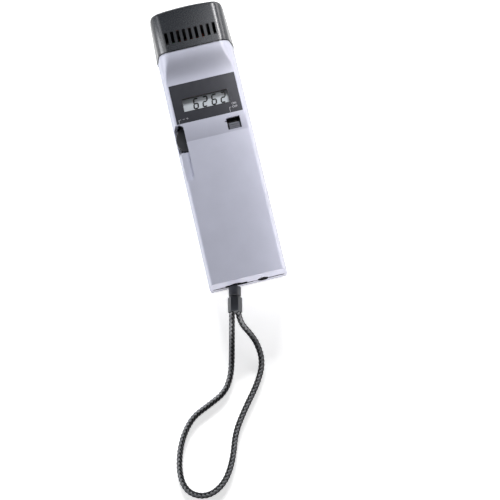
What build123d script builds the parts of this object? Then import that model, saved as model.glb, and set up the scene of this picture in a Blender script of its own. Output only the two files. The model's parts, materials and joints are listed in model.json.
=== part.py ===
"""Handheld stroboscope with a hooded flash lamp, a digital display, a tuning wheel and a wrist cord.

Millimetres. The instrument lies on its rear face: +X is to the right seen from the display side,
+Y points from the strap end to the lamp head, +Z comes out of the display side.
Stations are distances from the strap end, measured along +Y.
"""

import os
from math import cos, pi, radians, sin, tan

from build123d import *

os.makedirs("parts", exist_ok=True)

# Case, overall
LENGTH = 230.0
WIDTH = 62.0
JOINT_Z = 19.0
LOW_FRONT_Z = 34.2
LABEL_Z = 35.5
HEAD_Z = 40.0
WALL = 2.4
SIDE_LEAN = 0.16
REAR_LEAN = 0.06
END_LEAN = 0.16
PLAN_CORNER_R = 4.5
FRONT_EDGE_R = 1.6
HEAD_EDGE_R = 8.0
REAR_EDGE_R = 5.0
JOINT_GROOVE = 0.35
END_GROOVE = 0.5
END_GROOVE_DEPTH = 0.8

# Changes of the front face and the hood's seam, each a distance down from the head end
CREASE_DOWN = 111.2
ROLL_DOWN = 96.0
SWEEP_START_DOWN = 61.5
SWEEP_END_DOWN = 38.0
HOOD_LENGTH = 35.7

# Clearances
SLIP = 0.15
RUN = 0.3
PIVOT_CLEAR = 0.06

# Lamp hood
HOOD_PROUD = 0.6
HOOD_WALL = 1.8
HOOD_TAPER = 1.8
HOOD_CROWN = 2.2
HOOD_END_R = 5.0
CAVITY_CROWN = 0.5
HOOD_FRONT_R = 2.6
HOOD_REAR_Z = 0.3
SEAM_GAP = 0.6
SEAM_SEAT = 0.3
SPIGOT_LENGTH = 4.6
SPIGOT_WALL = 1.5
VENT_COUNT = 9
VENT_PITCH = 4.85
VENT_WIDTH = 2.5
VENT_LENGTH = 10.2
VENT_DOWN = 30.0

# Lamp
MOUTH_SIDE = 8.0
MOUTH_HEIGHT = 25.0
MOUTH_LIP = 1.6
LENS_THICK = 2.0
LENS_MARGIN = 1.6
DISH_DEPTH = 14.0
DISH_WALL = 0.8
TUBE_D = 4.4
TUBE_CAP_LENGTH = 3.0
FRAME_THICK = 2.5

# Label and display
LABEL_DOWN = 95.9
LABEL_HEIGHT = 32.9
LABEL_SIDE = 4.4
LABEL_THICK = 0.5
LABEL_SLIP = 0.1
WINDOW_WIDTH = 37.4
WINDOW_HEIGHT = 11.6
WINDOW_DOWN = 87.1
WINDOW_X = -0.3
GLASS_THICK = 2.6
GLASS_MARGIN = 1.0
BEZEL_WALL = 1.2

# Slide switch
SWITCH_SIDE = 13.6
SWITCH_DOWN = 109.4
SWITCH_WIDTH = 10.8
SWITCH_HEIGHT = 9.8
KNOB_WIDTH = 8.6
KNOB_HEIGHT = 5.4
KNOB_TOP_Z = 33.8
KNOB_CHAMFER = 0.4
GRIP_DEPTH = 0.4
SWITCH_BODY_Z = 29.0
SWITCH_BODY_WIDTH = 9.0
SWITCH_BODY_LENGTH = 13.0
SHUTTER_THICK = 0.8
SHUTTER_WIDTH = 12.4
STEM_SIZE = 2.4
NOTCH_SIZE = 1.3

# Tuning wheel
WHEEL_SIDE = 11.6
WHEEL_DOWN = 107.6
WHEEL_R = 11.0
WHEEL_THICK = 5.6
WHEEL_TOP_Z = 30.2
WHEEL_NOTCHES = 30
NOTCH_R = 0.7
OPENING_BOTTOM_DOWN = 118.6
OPENING_TOP_DOWN = 96.5
OPENING_SIDE = 8.7
OPENING_CORNER_R = 3.0
WHEEL_GAP = 0.5
SHAFT_D = 6.0
POT_SIZE = 12.0
POT_HEIGHT = 3.0
POT_BUSH_D = 9.0
EAR_REACH = 5.2

# Finger recess
RECESS_DOWN = 142.6
RECESS_DEPTH = 2.6
RECESS_WALL = 1.8
RECESS_CORNER_R = 4.0

# Main board
BOARD_TOP_Z = 23.6
BOARD_THICK = 1.6
BOARD_SIDE = 10.0
BOARD_BOTTOM_DOWN = 132.0
BOARD_NECK_DOWN = 42.0
BOARD_TOP_DOWN = 22.0
BOARD_NECK_STEP = 3.0
POST_R = 3.0
BOARD_SCREW_D = 2.2
POST_SIDE = 15.5
POST_LOW_DOWN = 127.5
POST_HIGH_DOWN = 66.0
BOARD_SCREW_REACH = 5.0

# Pieces on the board
CAP_SIDE = 22.0
CAP_DOWN = 55.0
CAP_D = 17.0
CAP_LENGTH = 26.0
CHIP_DOWN = 54.0
CHIP_CLEAR = 0.5
CHIP_GAP = 4.8
CHIP_LENGTH = 16.0
CHIP_WIDTH = 8.0
CHIP_HEIGHT = 2.4
COIL_DOWN = 26.5
COIL_LENGTH = 20.0
COIL_D = 8.0
COIL_FLANGE = 1.2
TRANSFORMER_X = -10.0
TRANSFORMER_DOWN = 52.0
TRANSFORMER_WIDTH = 14.0
TRANSFORMER_LENGTH = 14.0
TRANSFORMER_HEIGHT = 13.0

# Batteries
CELL_D = 14.5
CELL_LENGTH = 50.5
CELL_GAP = 0.5
BAY_SIDE = 27.6
BAY_BOTTOM = 14.6
BAY_WALL = 1.4
SPRING_LENGTH = 5.0
SPRING_WIRE = 1.0
SPRING_R = 4.2
SPRING_TURNS = 6
SPRING_NARROW = 0.3
NUB_D = 5.5
NUB_LENGTH = 1.0
CONTACT_HEIGHT = 10.0
PLATE_THICK = 0.5
DOOR_THICK = 2.0
DOOR_LAND = 1.5
DOOR_RAIL = 1.0
DOOR_RAIL_THICK = 0.9
DOOR_INSET = 0.15
DOOR_GRIP_PITCH = 2.2
DOOR_FRAME = 1.8

# Strap end
PIVOT_X = -9.8
PIVOT_STATION = 6.2
STRAP_LEAN = 12.0
SLOT_WIDTH = 17.8
SLOT_HEIGHT = 5.2
PIN_D = 3.0
PIN_BOSS_WALL = 2.0
PIN_REACH = 6.0
RELIEF_MARGIN = 0.25
RELIEF_DEPTH = 1.0
EYE_R = 3.1
TONGUE_THICK = 3.4
TONGUE_WIDTH = 4.6
BARREL_D = 9.8
BARREL_START = 7.8
BARREL_LENGTH = 7.6
NECK_D = 7.4
NECK_LENGTH = 1.0
FERRULE_ACROSS = 11.6
FERRULE_LENGTH = 12.0
FERRULE_RIM = 0.8
FERRULE_MOUTH = 0.6
CORD_D = 4.5
CORD_SPREAD = 2.36

# Charging socket
JACK_X = 11.5
JACK_OPENING_D = 8.9
JACK_D = 8.0
JACK_RECESS = 1.2
JACK_LENGTH = 11.5
JACK_BODY = 8.0
JACK_COLLAR = 2.0
JACK_RIB = 2.5
JACK_BORE_D = 3.6
JACK_BORE_DEPTH = 10.0

# Case screws and tripod bush
SCREW_SIDE = 6.3
SCREW_LOW = 22.0
SCREW_MIDDLE_DOWN = 126.0
SCREW_HIGH_DOWN = 50.0
SCREW_D = 2.9
SCREW_LENGTH = 15.0
SCREW_HEAD_D = 5.4
SCREW_HEAD_THICK = 2.0
SCREW_SINK = 3.0
BOSS_R = 3.4
BOSS_MEET_Z = 13.0
BUSH_CLEAR = 0.4
BUSH_D = 9.5
BUSH_LENGTH = 9.0
BUSH_HOLE_D = 5.1
BUSH_WALL = 2.0
BUSH_INSET = 0.4

# Stations that follow from the length
CREASE = LENGTH - CREASE_DOWN
ROLL_TOP = LENGTH - ROLL_DOWN
SWEEP_START = LENGTH - SWEEP_START_DOWN
SWEEP_END = LENGTH - SWEEP_END_DOWN
HOOD_SEAM = LENGTH - HOOD_LENGTH
VENT_START = LENGTH - VENT_DOWN
LABEL_BOTTOM = LENGTH - LABEL_DOWN
WINDOW_BOTTOM = LENGTH - WINDOW_DOWN
SWITCH_BOTTOM = LENGTH - SWITCH_DOWN
WHEEL_STATION = LENGTH - WHEEL_DOWN
WHEEL_OPENING_BOTTOM = LENGTH - OPENING_BOTTOM_DOWN
WHEEL_OPENING_TOP = LENGTH - OPENING_TOP_DOWN
RECESS_BOTTOM = LENGTH - RECESS_DOWN
BOARD_BOTTOM = LENGTH - BOARD_BOTTOM_DOWN
BOARD_NECK = LENGTH - BOARD_NECK_DOWN
BOARD_TOP = LENGTH - BOARD_TOP_DOWN
POST_STATIONS = (LENGTH - POST_LOW_DOWN, LENGTH - POST_HIGH_DOWN)
CAP_STATION = LENGTH - CAP_DOWN
CHIP_STATION = LENGTH - CHIP_DOWN
COIL_STATION = LENGTH - COIL_DOWN
TRANSFORMER_STATION = LENGTH - TRANSFORMER_DOWN
SCREW_STATIONS = (SCREW_LOW, LENGTH - SCREW_MIDDLE_DOWN, LENGTH - SCREW_HIGH_DOWN)

# Widths and places that follow from the width
HALF_LENGTH = LENGTH / 2
HALF_WIDTH = WIDTH / 2
MOUTH_WIDTH = WIDTH - 2 * MOUTH_SIDE
LABEL_WIDTH = WIDTH - 2 * LABEL_SIDE
BOARD_WIDTH = WIDTH - 2 * BOARD_SIDE
BOARD_NECK_WIDTH = BOARD_WIDTH - 2 * BOARD_NECK_STEP
SWITCH_X = HALF_WIDTH - SWITCH_SIDE
WHEEL_X = WHEEL_SIDE - HALF_WIDTH
WHEEL_OPENING_X = OPENING_SIDE - HALF_WIDTH
POST_X = HALF_WIDTH - POST_SIDE
SCREW_X = HALF_WIDTH - SCREW_SIDE
CAP_X = HALF_WIDTH - CAP_SIDE
CHIP_X = SCREW_X - BOSS_R - CHIP_CLEAR - CHIP_LENGTH / 2
BAY_X = HALF_WIDTH - BAY_SIDE

# Other lengths that follow from those above
NECK = HOOD_SEAM - SEAM_GAP
SEAM_DEPTH = HOOD_WALL - HOOD_PROUD - SEAM_SEAT
REAR_END = END_LEAN * JOINT_Z
BAY_WIDTH = 2 * CELL_D + 2 * CELL_GAP
BAY_LENGTH = 2 * CELL_LENGTH + SPRING_LENGTH + PLATE_THICK + 2 * CELL_GAP
CELL_Z = DOOR_INSET + DOOR_THICK + RUN + CELL_D / 2
BAY_TOP_Z = CELL_Z + CELL_D / 2 + CELL_GAP
BOARD_BOTTOM_Z = BOARD_TOP_Z - BOARD_THICK
PART_SPAN = 60.0
FORM_MARGIN = 1.0


def y_at(station):
    """Place along Y of a distance from the strap end."""
    return station - HALF_LENGTH


def section_plane(station):
    """Plane across the case, with X to the right and Z up."""
    return Plane(origin=(0, y_at(station), 0), x_dir=(1, 0, 0), z_dir=(0, -1, 0))


def ease(share):
    """Smooth rise from 0 to 1 with level ends."""
    return (1 - cos(pi * share)) / 2


def front_height(station):
    """Height of the front face: flat grip, roll up to the label, sweep up to the head."""
    if station <= CREASE:
        return LOW_FRONT_Z
    if station < ROLL_TOP:
        left = (ROLL_TOP - station) / (ROLL_TOP - CREASE)
        return LABEL_Z - (LABEL_Z - LOW_FRONT_Z) * left**2
    if station <= SWEEP_START:
        return LABEL_Z
    if station < SWEEP_END:
        share = (station - SWEEP_START) / (SWEEP_END - SWEEP_START)
        return LABEL_Z + (HEAD_Z - LABEL_Z) * ease(share)
    return HEAD_Z


def edge_radius(station):
    """Rounding of the long front edges: crisp on the grip, full at the head."""
    if station <= SWEEP_START:
        return FRONT_EDGE_R
    share = min(1.0, (station - SWEEP_START) / (SWEEP_END - SWEEP_START))
    return FRONT_EDGE_R + (HEAD_EDGE_R - FRONT_EDGE_R) * ease(share)


def front_section(station, inset):
    """One section of the front half, standing on the joint plane."""
    top = front_height(station) - inset
    half = HALF_WIDTH - inset
    top_half = half - SIDE_LEAN * (top - JOINT_Z)
    foot = JOINT_GROOVE if inset == 0 else 0.1
    radius = max(edge_radius(station) - inset, 0.8)
    with BuildSketch(section_plane(station)) as section:
        Polygon(
            (-half + foot, JOINT_Z),
            (-half, JOINT_Z + foot),
            (-top_half, top),
            (top_half, top),
            (half, JOINT_Z + foot),
            (half - foot, JOINT_Z),
            align=None,
        )
        fillet(section.vertices().group_by(Axis.Y)[-1], radius)
    return section.sketch


def rear_section(station, inset):
    """One section of the rear half, hanging below the joint plane."""
    half = HALF_WIDTH - inset
    low_half = half - REAR_LEAN * (JOINT_Z - inset)
    foot = JOINT_GROOVE if inset == 0 else 0.1
    with BuildSketch(section_plane(station)) as section:
        Polygon(
            (-half + foot, JOINT_Z),
            (-half, JOINT_Z - foot),
            (-low_half, inset),
            (low_half, inset),
            (half, JOINT_Z - foot),
            (half - foot, JOINT_Z),
            align=None,
        )
        fillet(section.vertices().group_by(Axis.Y)[0], max(REAR_EDGE_R - inset, 0.8))
    return section.sketch


def stretch(first, last, count, inset):
    """Front sections spaced evenly from one station to another."""
    step = (last - first) / (count - 1)
    return [front_section(first + step * index, inset) for index in range(count)]


def front_form(inset, start, end):
    """Adds the solid front half between two stations, its surfaces set in by inset."""
    loft(stretch(start, CREASE, 2, inset), ruled=True)
    loft(stretch(CREASE, ROLL_TOP, 5, inset))
    loft(stretch(ROLL_TOP, SWEEP_START, 2, inset), ruled=True)
    loft(stretch(SWEEP_START, SWEEP_END, 9, inset))
    loft(stretch(SWEEP_END, end, 2, inset), ruled=True)


with BuildPart() as end_form:
    # Rounded plan corners at the strap end
    with BuildSketch(Plane.XY.offset(-1)) as plan:
        with Locations((0, y_at(0))):
            Rectangle(WIDTH + FORM_MARGIN, LENGTH + PART_SPAN, align=(Align.CENTER, Align.MIN))
        fillet(plan.vertices().group_by(Axis.Y)[0], PLAN_CORNER_R)
    extrude(amount=PART_SPAN)
    # Groove along the joint, its floor set in from the same outline
    with BuildSketch(Plane.XY.offset(JOINT_Z - END_GROOVE)):
        with Locations((0, y_at(0))):
            Rectangle(WIDTH + PART_SPAN, 2 * PLAN_CORNER_R, align=(Align.CENTER, Align.MIN))
    extrude(amount=2 * END_GROOVE, mode=Mode.SUBTRACT)
    with BuildSketch(Plane.XY.offset(JOINT_Z - END_GROOVE)) as groove_floor:
        with Locations((0, y_at(END_GROOVE_DEPTH))):
            Rectangle(WIDTH + FORM_MARGIN, 2 * PLAN_CORNER_R, align=(Align.CENTER, Align.MIN))
        fillet(groove_floor.vertices().group_by(Axis.Y)[0], PLAN_CORNER_R)
    extrude(amount=2 * END_GROOVE)
    # Rounded front and rear edges at the strap end, the rear half leaning in below the joint
    with BuildSketch(Plane.YZ) as side:
        Polygon(
            (y_at(REAR_END), 0),
            (y_at(LENGTH) + PART_SPAN, 0),
            (y_at(LENGTH) + PART_SPAN, PART_SPAN),
            (y_at(0) + PART_SPAN, PART_SPAN),
            (y_at(0) + PART_SPAN, LOW_FRONT_Z),
            (y_at(0), LOW_FRONT_Z),
            (y_at(0), JOINT_Z),
            align=None,
        )
        fillet(side.vertices().sort_by_distance((y_at(REAR_END), 0))[0], REAR_EDGE_R - 1)
        fillet(side.vertices().sort_by_distance((y_at(0), LOW_FRONT_Z))[0], FRONT_EDGE_R)
    extrude(amount=WIDTH, both=True, mode=Mode.INTERSECT)

with BuildPart() as front_cavity:
    front_form(WALL, WALL, HOOD_SEAM + 1)

with BuildPart() as rear_cavity:
    extrude(rear_section(WALL, WALL), amount=-(HOOD_SEAM + 1 - WALL))
    # The end wall leans and is as thick as the others
    with BuildSketch(Plane.YZ):
        Polygon(
            (y_at(WALL + REAR_END), 0),
            (y_at(LENGTH), 0),
            (y_at(LENGTH), JOINT_Z),
            (y_at(WALL), JOINT_Z),
            align=None,
        )
    extrude(amount=WIDTH, both=True, mode=Mode.INTERSECT)


# Lamp hood and the spigot that it slips over

def hood_section(station, inset):
    """Section of the hood, both halves, set in by inset."""
    half = HALF_WIDTH + HOOD_PROUD - inset
    top = HEAD_Z + HOOD_PROUD - inset
    rear = HOOD_REAR_Z + inset
    top_half = half - SIDE_LEAN * (top - JOINT_Z)
    low_half = half - REAR_LEAN * (JOINT_Z - rear)
    with BuildSketch(section_plane(station)) as section:
        Polygon(
            (-low_half, rear),
            (-half, JOINT_Z),
            (-top_half, top),
            (top_half, top),
            (half, JOINT_Z),
            (low_half, rear),
            align=None,
        )
        fillet(section.vertices().group_by(Axis.Y)[-1], HEAD_EDGE_R + HOOD_PROUD - inset)
        fillet(section.vertices().group_by(Axis.Y)[0], REAR_EDGE_R - inset)
    return section.sketch


def hood_plan(inset, start, end, crown):
    """Outline of the hood seen from the front: narrower and crowned towards the lamp."""
    half = HALF_WIDTH + HOOD_PROUD - inset
    narrow = HOOD_TAPER * (end - HOOD_SEAM) / (LENGTH - HOOD_SEAM)
    with BuildSketch() as plan:
        with BuildLine():
            left_low = (-half, y_at(start))
            left_high = (narrow - half, y_at(end) - crown)
            right_high = (half - narrow, y_at(end) - crown)
            right_low = (half, y_at(start))
            Line(right_low, left_low)
            Line(left_low, left_high)
            ThreePointArc(left_high, (0, y_at(end)), right_high)
            Line(right_high, right_low)
        make_face()
        fillet(plan.vertices().group_by(Axis.Y)[-1], HOOD_END_R - inset)
    return plan.sketch


SPIGOT_START = HOOD_SEAM - 3
LENS_STATION = LENGTH - HOOD_CROWN - MOUTH_LIP - SLIP - LENS_THICK
LAMP_Z = (HEAD_Z + HOOD_PROUD + HOOD_REAR_Z) / 2
FOCUS = (MOUTH_HEIGHT / 2) ** 2 / (4 * DISH_DEPTH)
LAMP_PLANE = Plane(origin=(0, y_at(LENS_STATION), LAMP_Z), x_dir=(1, 0, 0), z_dir=(0, 1, 0))

with BuildPart() as hood_cavity:
    extrude(hood_plan(HOOD_WALL, SPIGOT_START, LENS_STATION + CAVITY_CROWN, CAVITY_CROWN), amount=PART_SPAN)
    extrude(hood_section(SPIGOT_START, HOOD_WALL), amount=-LENGTH, mode=Mode.INTERSECT)

with BuildPart() as lamp_hood:
    extrude(hood_plan(0, HOOD_SEAM, LENGTH, HOOD_CROWN), amount=PART_SPAN)
    extrude(hood_section(HOOD_SEAM, 0), amount=-(LENGTH - HOOD_SEAM + 1), mode=Mode.INTERSECT)
    front_edges = lamp_hood.faces().sort_by(Axis.Z)[-1].edges()
    fillet(front_edges.sort_by(Axis.Y)[-1], HOOD_FRONT_R)
    add(hood_cavity.part, mode=Mode.SUBTRACT)
    # Seat for the window, then the mouth
    with BuildSketch(LAMP_PLANE):
        RectangleRounded(MOUTH_WIDTH + 2 * LENS_MARGIN, MOUTH_HEIGHT + 2 * LENS_MARGIN, 2 + LENS_MARGIN)
    extrude(amount=LENS_THICK + SLIP, mode=Mode.SUBTRACT)
    with BuildSketch(LAMP_PLANE):
        RectangleRounded(MOUTH_WIDTH, MOUTH_HEIGHT, 2)
    extrude(amount=PART_SPAN, mode=Mode.SUBTRACT)
    # Row of cooling slots in the front wall and the same in the rear wall
    with BuildSketch(Plane.XY.offset(-1)):
        with Locations((0, y_at(VENT_START) + VENT_LENGTH / 2)):
            with GridLocations(VENT_PITCH, 0, VENT_COUNT, 1):
                RectangleRounded(VENT_WIDTH, VENT_LENGTH, 0.4)
    extrude(amount=PART_SPAN, mode=Mode.SUBTRACT)
lamp_hood.part.label = "lamp_hood"
export_step(lamp_hood.part, "parts/lamp_hood.step")

with BuildPart() as spigot:
    # Collar at the head end of the case, cut in two at the joint plane by each shell
    spigot_inset = HOOD_WALL + SLIP
    spigot_reach = HOOD_SEAM + SPIGOT_LENGTH - SPIGOT_START
    extrude(hood_plan(spigot_inset, SPIGOT_START, LENS_STATION, CAVITY_CROWN), amount=PART_SPAN)
    extrude(hood_section(SPIGOT_START, spigot_inset), amount=-spigot_reach, mode=Mode.INTERSECT)
    extrude(hood_section(SPIGOT_START, spigot_inset + SPIGOT_WALL), amount=-spigot_reach, mode=Mode.SUBTRACT)

# Lamp: window, dish, tube, tube ends, carrier frame

with BuildPart() as lens_window:
    with BuildSketch(LAMP_PLANE):
        RectangleRounded(
            MOUTH_WIDTH + 2 * LENS_MARGIN - 2 * SLIP, MOUTH_HEIGHT + 2 * LENS_MARGIN - 2 * SLIP, 2 + LENS_MARGIN - SLIP
        )
    extrude(amount=LENS_THICK)
lens_window.part.label = "lens_window"
export_step(lens_window.part, "parts/lens_window.step")


def trough(half_height, depth):
    """Parabolic face in the Y-Z plane, its mouth at the window."""
    focal = half_height**2 / (4 * depth)
    mouth = y_at(LENS_STATION)
    rise = [half_height * (index - 4) / 4 for index in range(9)]
    with BuildSketch(Plane.YZ) as profile:
        with BuildLine():
            curve = Spline([(mouth - depth + height**2 / (4 * focal), LAMP_Z + height) for height in rise])
            Line(curve @ 1, curve @ 0)
        make_face()
    return profile.sketch


with BuildPart() as reflector:
    outer_width = MOUTH_WIDTH + 2 * DISH_WALL
    extrude(trough(MOUTH_HEIGHT / 2 + DISH_WALL, DISH_DEPTH + DISH_WALL), amount=outer_width / 2, both=True)
    # Flange that the window and the frame clamp
    with BuildSketch(LAMP_PLANE):
        RectangleRounded(outer_width + 2 * LENS_MARGIN - 2, MOUTH_HEIGHT + 2 * LENS_MARGIN, 2)
    extrude(amount=-DISH_WALL)
    extrude(trough(MOUTH_HEIGHT / 2, DISH_DEPTH), amount=MOUTH_WIDTH / 2, both=True, mode=Mode.SUBTRACT)
    # Holes for the tube in the two end plates
    with BuildSketch(Plane.YZ.offset(-WIDTH / 2)):
        with Locations((y_at(LENS_STATION) - DISH_DEPTH + FOCUS, LAMP_Z)):
            Circle(TUBE_D / 2 + SLIP)
    extrude(amount=WIDTH, mode=Mode.SUBTRACT)
reflector.part.label = "reflector"
export_step(reflector.part, "parts/reflector.step")

TUBE_CENTRE = (y_at(LENS_STATION) - DISH_DEPTH + FOCUS, LAMP_Z)
TUBE_HALF = MOUTH_WIDTH / 2 + DISH_WALL + TUBE_CAP_LENGTH / 2

with BuildPart() as flash_tube:
    with BuildSketch(Plane.YZ):
        with Locations(TUBE_CENTRE):
            Circle(TUBE_D / 2)
    extrude(amount=TUBE_HALF, both=True)
    fillet(flash_tube.edges().filter_by(GeomType.CIRCLE), 0.8)
flash_tube.part.label = "flash_tube"
export_step(flash_tube.part, "parts/flash_tube.step")

with BuildPart() as tube_ends:
    for side in (-1, 1):
        start = side * (MOUTH_WIDTH / 2 + DISH_WALL)
        with BuildSketch(Plane.YZ.offset(start)):
            with Locations(TUBE_CENTRE):
                Circle(TUBE_D / 2 + 0.9)
        extrude(amount=side * TUBE_CAP_LENGTH)
        with BuildSketch(Plane.YZ.offset(start)):
            with Locations(TUBE_CENTRE):
                Circle(TUBE_D / 2 + PIVOT_CLEAR)
        extrude(amount=side * (TUBE_CAP_LENGTH / 2 + PIVOT_CLEAR), mode=Mode.SUBTRACT)
tube_ends.part.label = "tube_ends"
export_step(tube_ends.part, "parts/tube_ends.step")

with BuildPart() as lamp_frame:
    extrude(hood_plan(HOOD_WALL + SLIP, SPIGOT_START, LENS_STATION, CAVITY_CROWN), amount=PART_SPAN)
    extrude(hood_section(SPIGOT_START, HOOD_WALL + SLIP), amount=-LENGTH, mode=Mode.INTERSECT)
    with BuildSketch(LAMP_PLANE.offset(-DISH_WALL)):
        Rectangle(WIDTH + 10, PART_SPAN)
    extrude(amount=-FRAME_THICK, mode=Mode.INTERSECT)
    with BuildSketch(LAMP_PLANE):
        Rectangle(MOUTH_WIDTH + 2 * DISH_WALL + SLIP, MOUTH_HEIGHT + 2 * DISH_WALL + SLIP)
    extrude(amount=-PART_SPAN, mode=Mode.SUBTRACT)
lamp_frame.part.label = "lamp_frame"
export_step(lamp_frame.part, "parts/lamp_frame.step")

# Front shell

LABEL_Y = y_at(LABEL_BOTTOM) + LABEL_HEIGHT / 2
WINDOW_Y = y_at(WINDOW_BOTTOM) + WINDOW_HEIGHT / 2
SWITCH_Y = y_at(SWITCH_BOTTOM) + SWITCH_HEIGHT / 2
WHEEL_Y = y_at(WHEEL_STATION)
PIVOT_Y = y_at(PIVOT_STATION)
WHEEL_LOW_Z = WHEEL_TOP_Z - WHEEL_THICK
RECESS_Z = LOW_FRONT_Z - RECESS_DEPTH
END_PLANE = Plane(origin=(0, y_at(0), 0), x_dir=(1, 0, 0), z_dir=(0, -1, 0))
SCREW_POINTS = [(side * SCREW_X, y_at(station)) for station in SCREW_STATIONS for side in (-1, 1)]
POST_POINTS = [(side * POST_X, y_at(station)) for station in POST_STATIONS for side in (-1, 1)]
CAP_Y = y_at(CAP_STATION)
CAP_Z = BOARD_BOTTOM_Z - SLIP - CAP_D / 2

with BuildPart() as front_skin:
    front_form(0, 0, NECK)
    # Neck that keeps a dark gap below the hood
    loft(stretch(NECK, HOOD_SEAM, 2, SEAM_DEPTH), ruled=True)
    add(end_form.part, mode=Mode.INTERSECT)

with BuildPart() as front_limit:
    # Space that the inner features of the front shell may fill
    add(front_skin.part)
    with BuildSketch(Plane.XY.offset(JOINT_Z)):
        with Locations(SCREW_POINTS):
            Circle(BOSS_R)
    extrude(amount=BOSS_MEET_Z - JOINT_Z)
    split(bisect_by=Plane.XZ.offset(-y_at(HOOD_SEAM) + WALL), keep=Keep.TOP)

with BuildPart() as front_features:
    # Screw bosses
    with BuildSketch(Plane.XY.offset(BOSS_MEET_Z)):
        with Locations(SCREW_POINTS):
            Circle(BOSS_R)
    extrude(amount=PART_SPAN)
    # Posts for the board
    with BuildSketch(Plane.XY.offset(BOARD_TOP_Z)):
        with Locations(POST_POINTS):
            Circle(POST_R)
    extrude(amount=PART_SPAN)
    # Boss over the strap pin
    with BuildSketch(Plane.XY.offset(JOINT_Z + TONGUE_THICK / 2 + RUN)):
        with Locations((PIVOT_X, PIVOT_Y)):
            Circle(PIN_D / 2 + PIN_BOSS_WALL)
    extrude(amount=PART_SPAN)
    # Floor under the finger recess
    with BuildSketch(Plane.XY.offset(RECESS_Z - RECESS_WALL)):
        with Locations((-HALF_WIDTH, y_at(RECESS_BOTTOM) - RECESS_WALL)):
            Rectangle(
                HALF_WIDTH + WHEEL_OPENING_X + RECESS_WALL,
                WHEEL_OPENING_BOTTOM - RECESS_BOTTOM + RECESS_WALL - RUN,
                align=(Align.MIN, Align.MIN),
            )
    extrude(amount=PART_SPAN)
    # Rib that holds the charging socket down
    with BuildSketch(Plane.XY.offset(JOINT_Z + JACK_BODY / 2)):
        with Locations((JACK_X, y_at(JACK_RECESS + JACK_LENGTH) - JACK_RIB)):
            Rectangle(JACK_BODY, JACK_RIB)
    extrude(amount=PART_SPAN)
    add(front_limit.part, mode=Mode.INTERSECT)

with BuildPart() as front_collar:
    add(spigot.part)
    split(bisect_by=Plane.XY.offset(JOINT_Z), keep=Keep.TOP)

with BuildPart() as front_shell:
    add(front_skin.part)
    add(front_cavity.part, mode=Mode.SUBTRACT)
    add(front_collar.part)
    add(front_features.part)
    # Seat for the label and the display window
    with BuildSketch(Plane.XY.offset(LABEL_Z)):
        with Locations((0, LABEL_Y)):
            Rectangle(LABEL_WIDTH + 2 * LABEL_SLIP, LABEL_HEIGHT + 2 * LABEL_SLIP)
    extrude(amount=-LABEL_THICK, mode=Mode.SUBTRACT)
    with BuildSketch(Plane.XY.offset(LABEL_Z)):
        with Locations((WINDOW_X, WINDOW_Y)):
            Rectangle(WINDOW_WIDTH, WINDOW_HEIGHT)
    extrude(amount=-WALL - 1, mode=Mode.SUBTRACT)
    # Switch opening with its index notch
    with BuildSketch(Plane.XY.offset(SWITCH_BODY_Z)):
        with Locations((SWITCH_X, SWITCH_Y)):
            RectangleRounded(SWITCH_WIDTH, SWITCH_HEIGHT, 0.5)
        with Locations((SWITCH_X - SWITCH_WIDTH / 2, SWITCH_Y + SWITCH_HEIGHT / 4)):
            Rectangle(2 * NOTCH_SIZE, NOTCH_SIZE)
    extrude(amount=PART_SPAN, mode=Mode.SUBTRACT)
    # Wheel opening, wrapped over the left edge
    with BuildSketch(Plane.XY.offset(WHEEL_LOW_Z - WHEEL_GAP)) as wheel_opening:
        with Locations((WHEEL_OPENING_X, y_at(WHEEL_OPENING_BOTTOM))):
            Rectangle(
                HALF_WIDTH, WHEEL_OPENING_TOP - WHEEL_OPENING_BOTTOM, align=(Align.MAX, Align.MIN)
            )
        fillet(wheel_opening.vertices().group_by(Axis.X)[-1], OPENING_CORNER_R)
    extrude(amount=PART_SPAN, mode=Mode.SUBTRACT)
    # Finger recess below it
    with BuildSketch(Plane.XY.offset(RECESS_Z)) as recess:
        with Locations((WHEEL_OPENING_X, y_at(RECESS_BOTTOM))):
            Rectangle(
                HALF_WIDTH, WHEEL_OPENING_BOTTOM + OPENING_CORNER_R - RECESS_BOTTOM, align=(Align.MAX, Align.MIN)
            )
        fillet(recess.vertices().group_by(Axis.X)[-1].sort_by(Axis.Y)[0], RECESS_CORNER_R)
    extrude(amount=PART_SPAN, mode=Mode.SUBTRACT)
    # Strap slot, its relief for the swivel, and the socket opening
    with BuildSketch(END_PLANE.offset(1)):
        with Locations((PIVOT_X, JOINT_Z)):
            Rectangle(SLOT_WIDTH, SLOT_HEIGHT)
        with Locations((JACK_X, JOINT_Z)):
            Circle(JACK_OPENING_D / 2)
    extrude(amount=-WALL - 2, mode=Mode.SUBTRACT)
    with BuildSketch(END_PLANE):
        with Locations((PIVOT_X, JOINT_Z)):
            Circle(BARREL_D / 2 + RELIEF_MARGIN)
    extrude(amount=-RELIEF_DEPTH, mode=Mode.SUBTRACT)
    # Holes for the strap pin, the case screws and the board screws
    with BuildSketch(Plane.XY.offset(JOINT_Z)):
        with Locations((PIVOT_X, PIVOT_Y)):
            Circle(PIN_D / 2 + PIVOT_CLEAR)
    extrude(amount=PIN_REACH + RUN, mode=Mode.SUBTRACT)
    with BuildSketch(Plane.XY.offset(BOSS_MEET_Z)):
        with Locations(SCREW_POINTS):
            Circle(SCREW_D / 2 + PIVOT_CLEAR)
    extrude(amount=SCREW_SINK + SCREW_LENGTH - BOSS_MEET_Z + RUN, mode=Mode.SUBTRACT)
    with BuildSketch(Plane.XY.offset(BOARD_TOP_Z)):
        with Locations(POST_POINTS):
            Circle(BOARD_SCREW_D / 2 + PIVOT_CLEAR)
    extrude(amount=BOARD_SCREW_REACH + RUN, mode=Mode.SUBTRACT)
front_shell.part.label = "front_shell"
export_step(front_shell.part, "parts/front_shell.step")

# Rear shell

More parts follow.
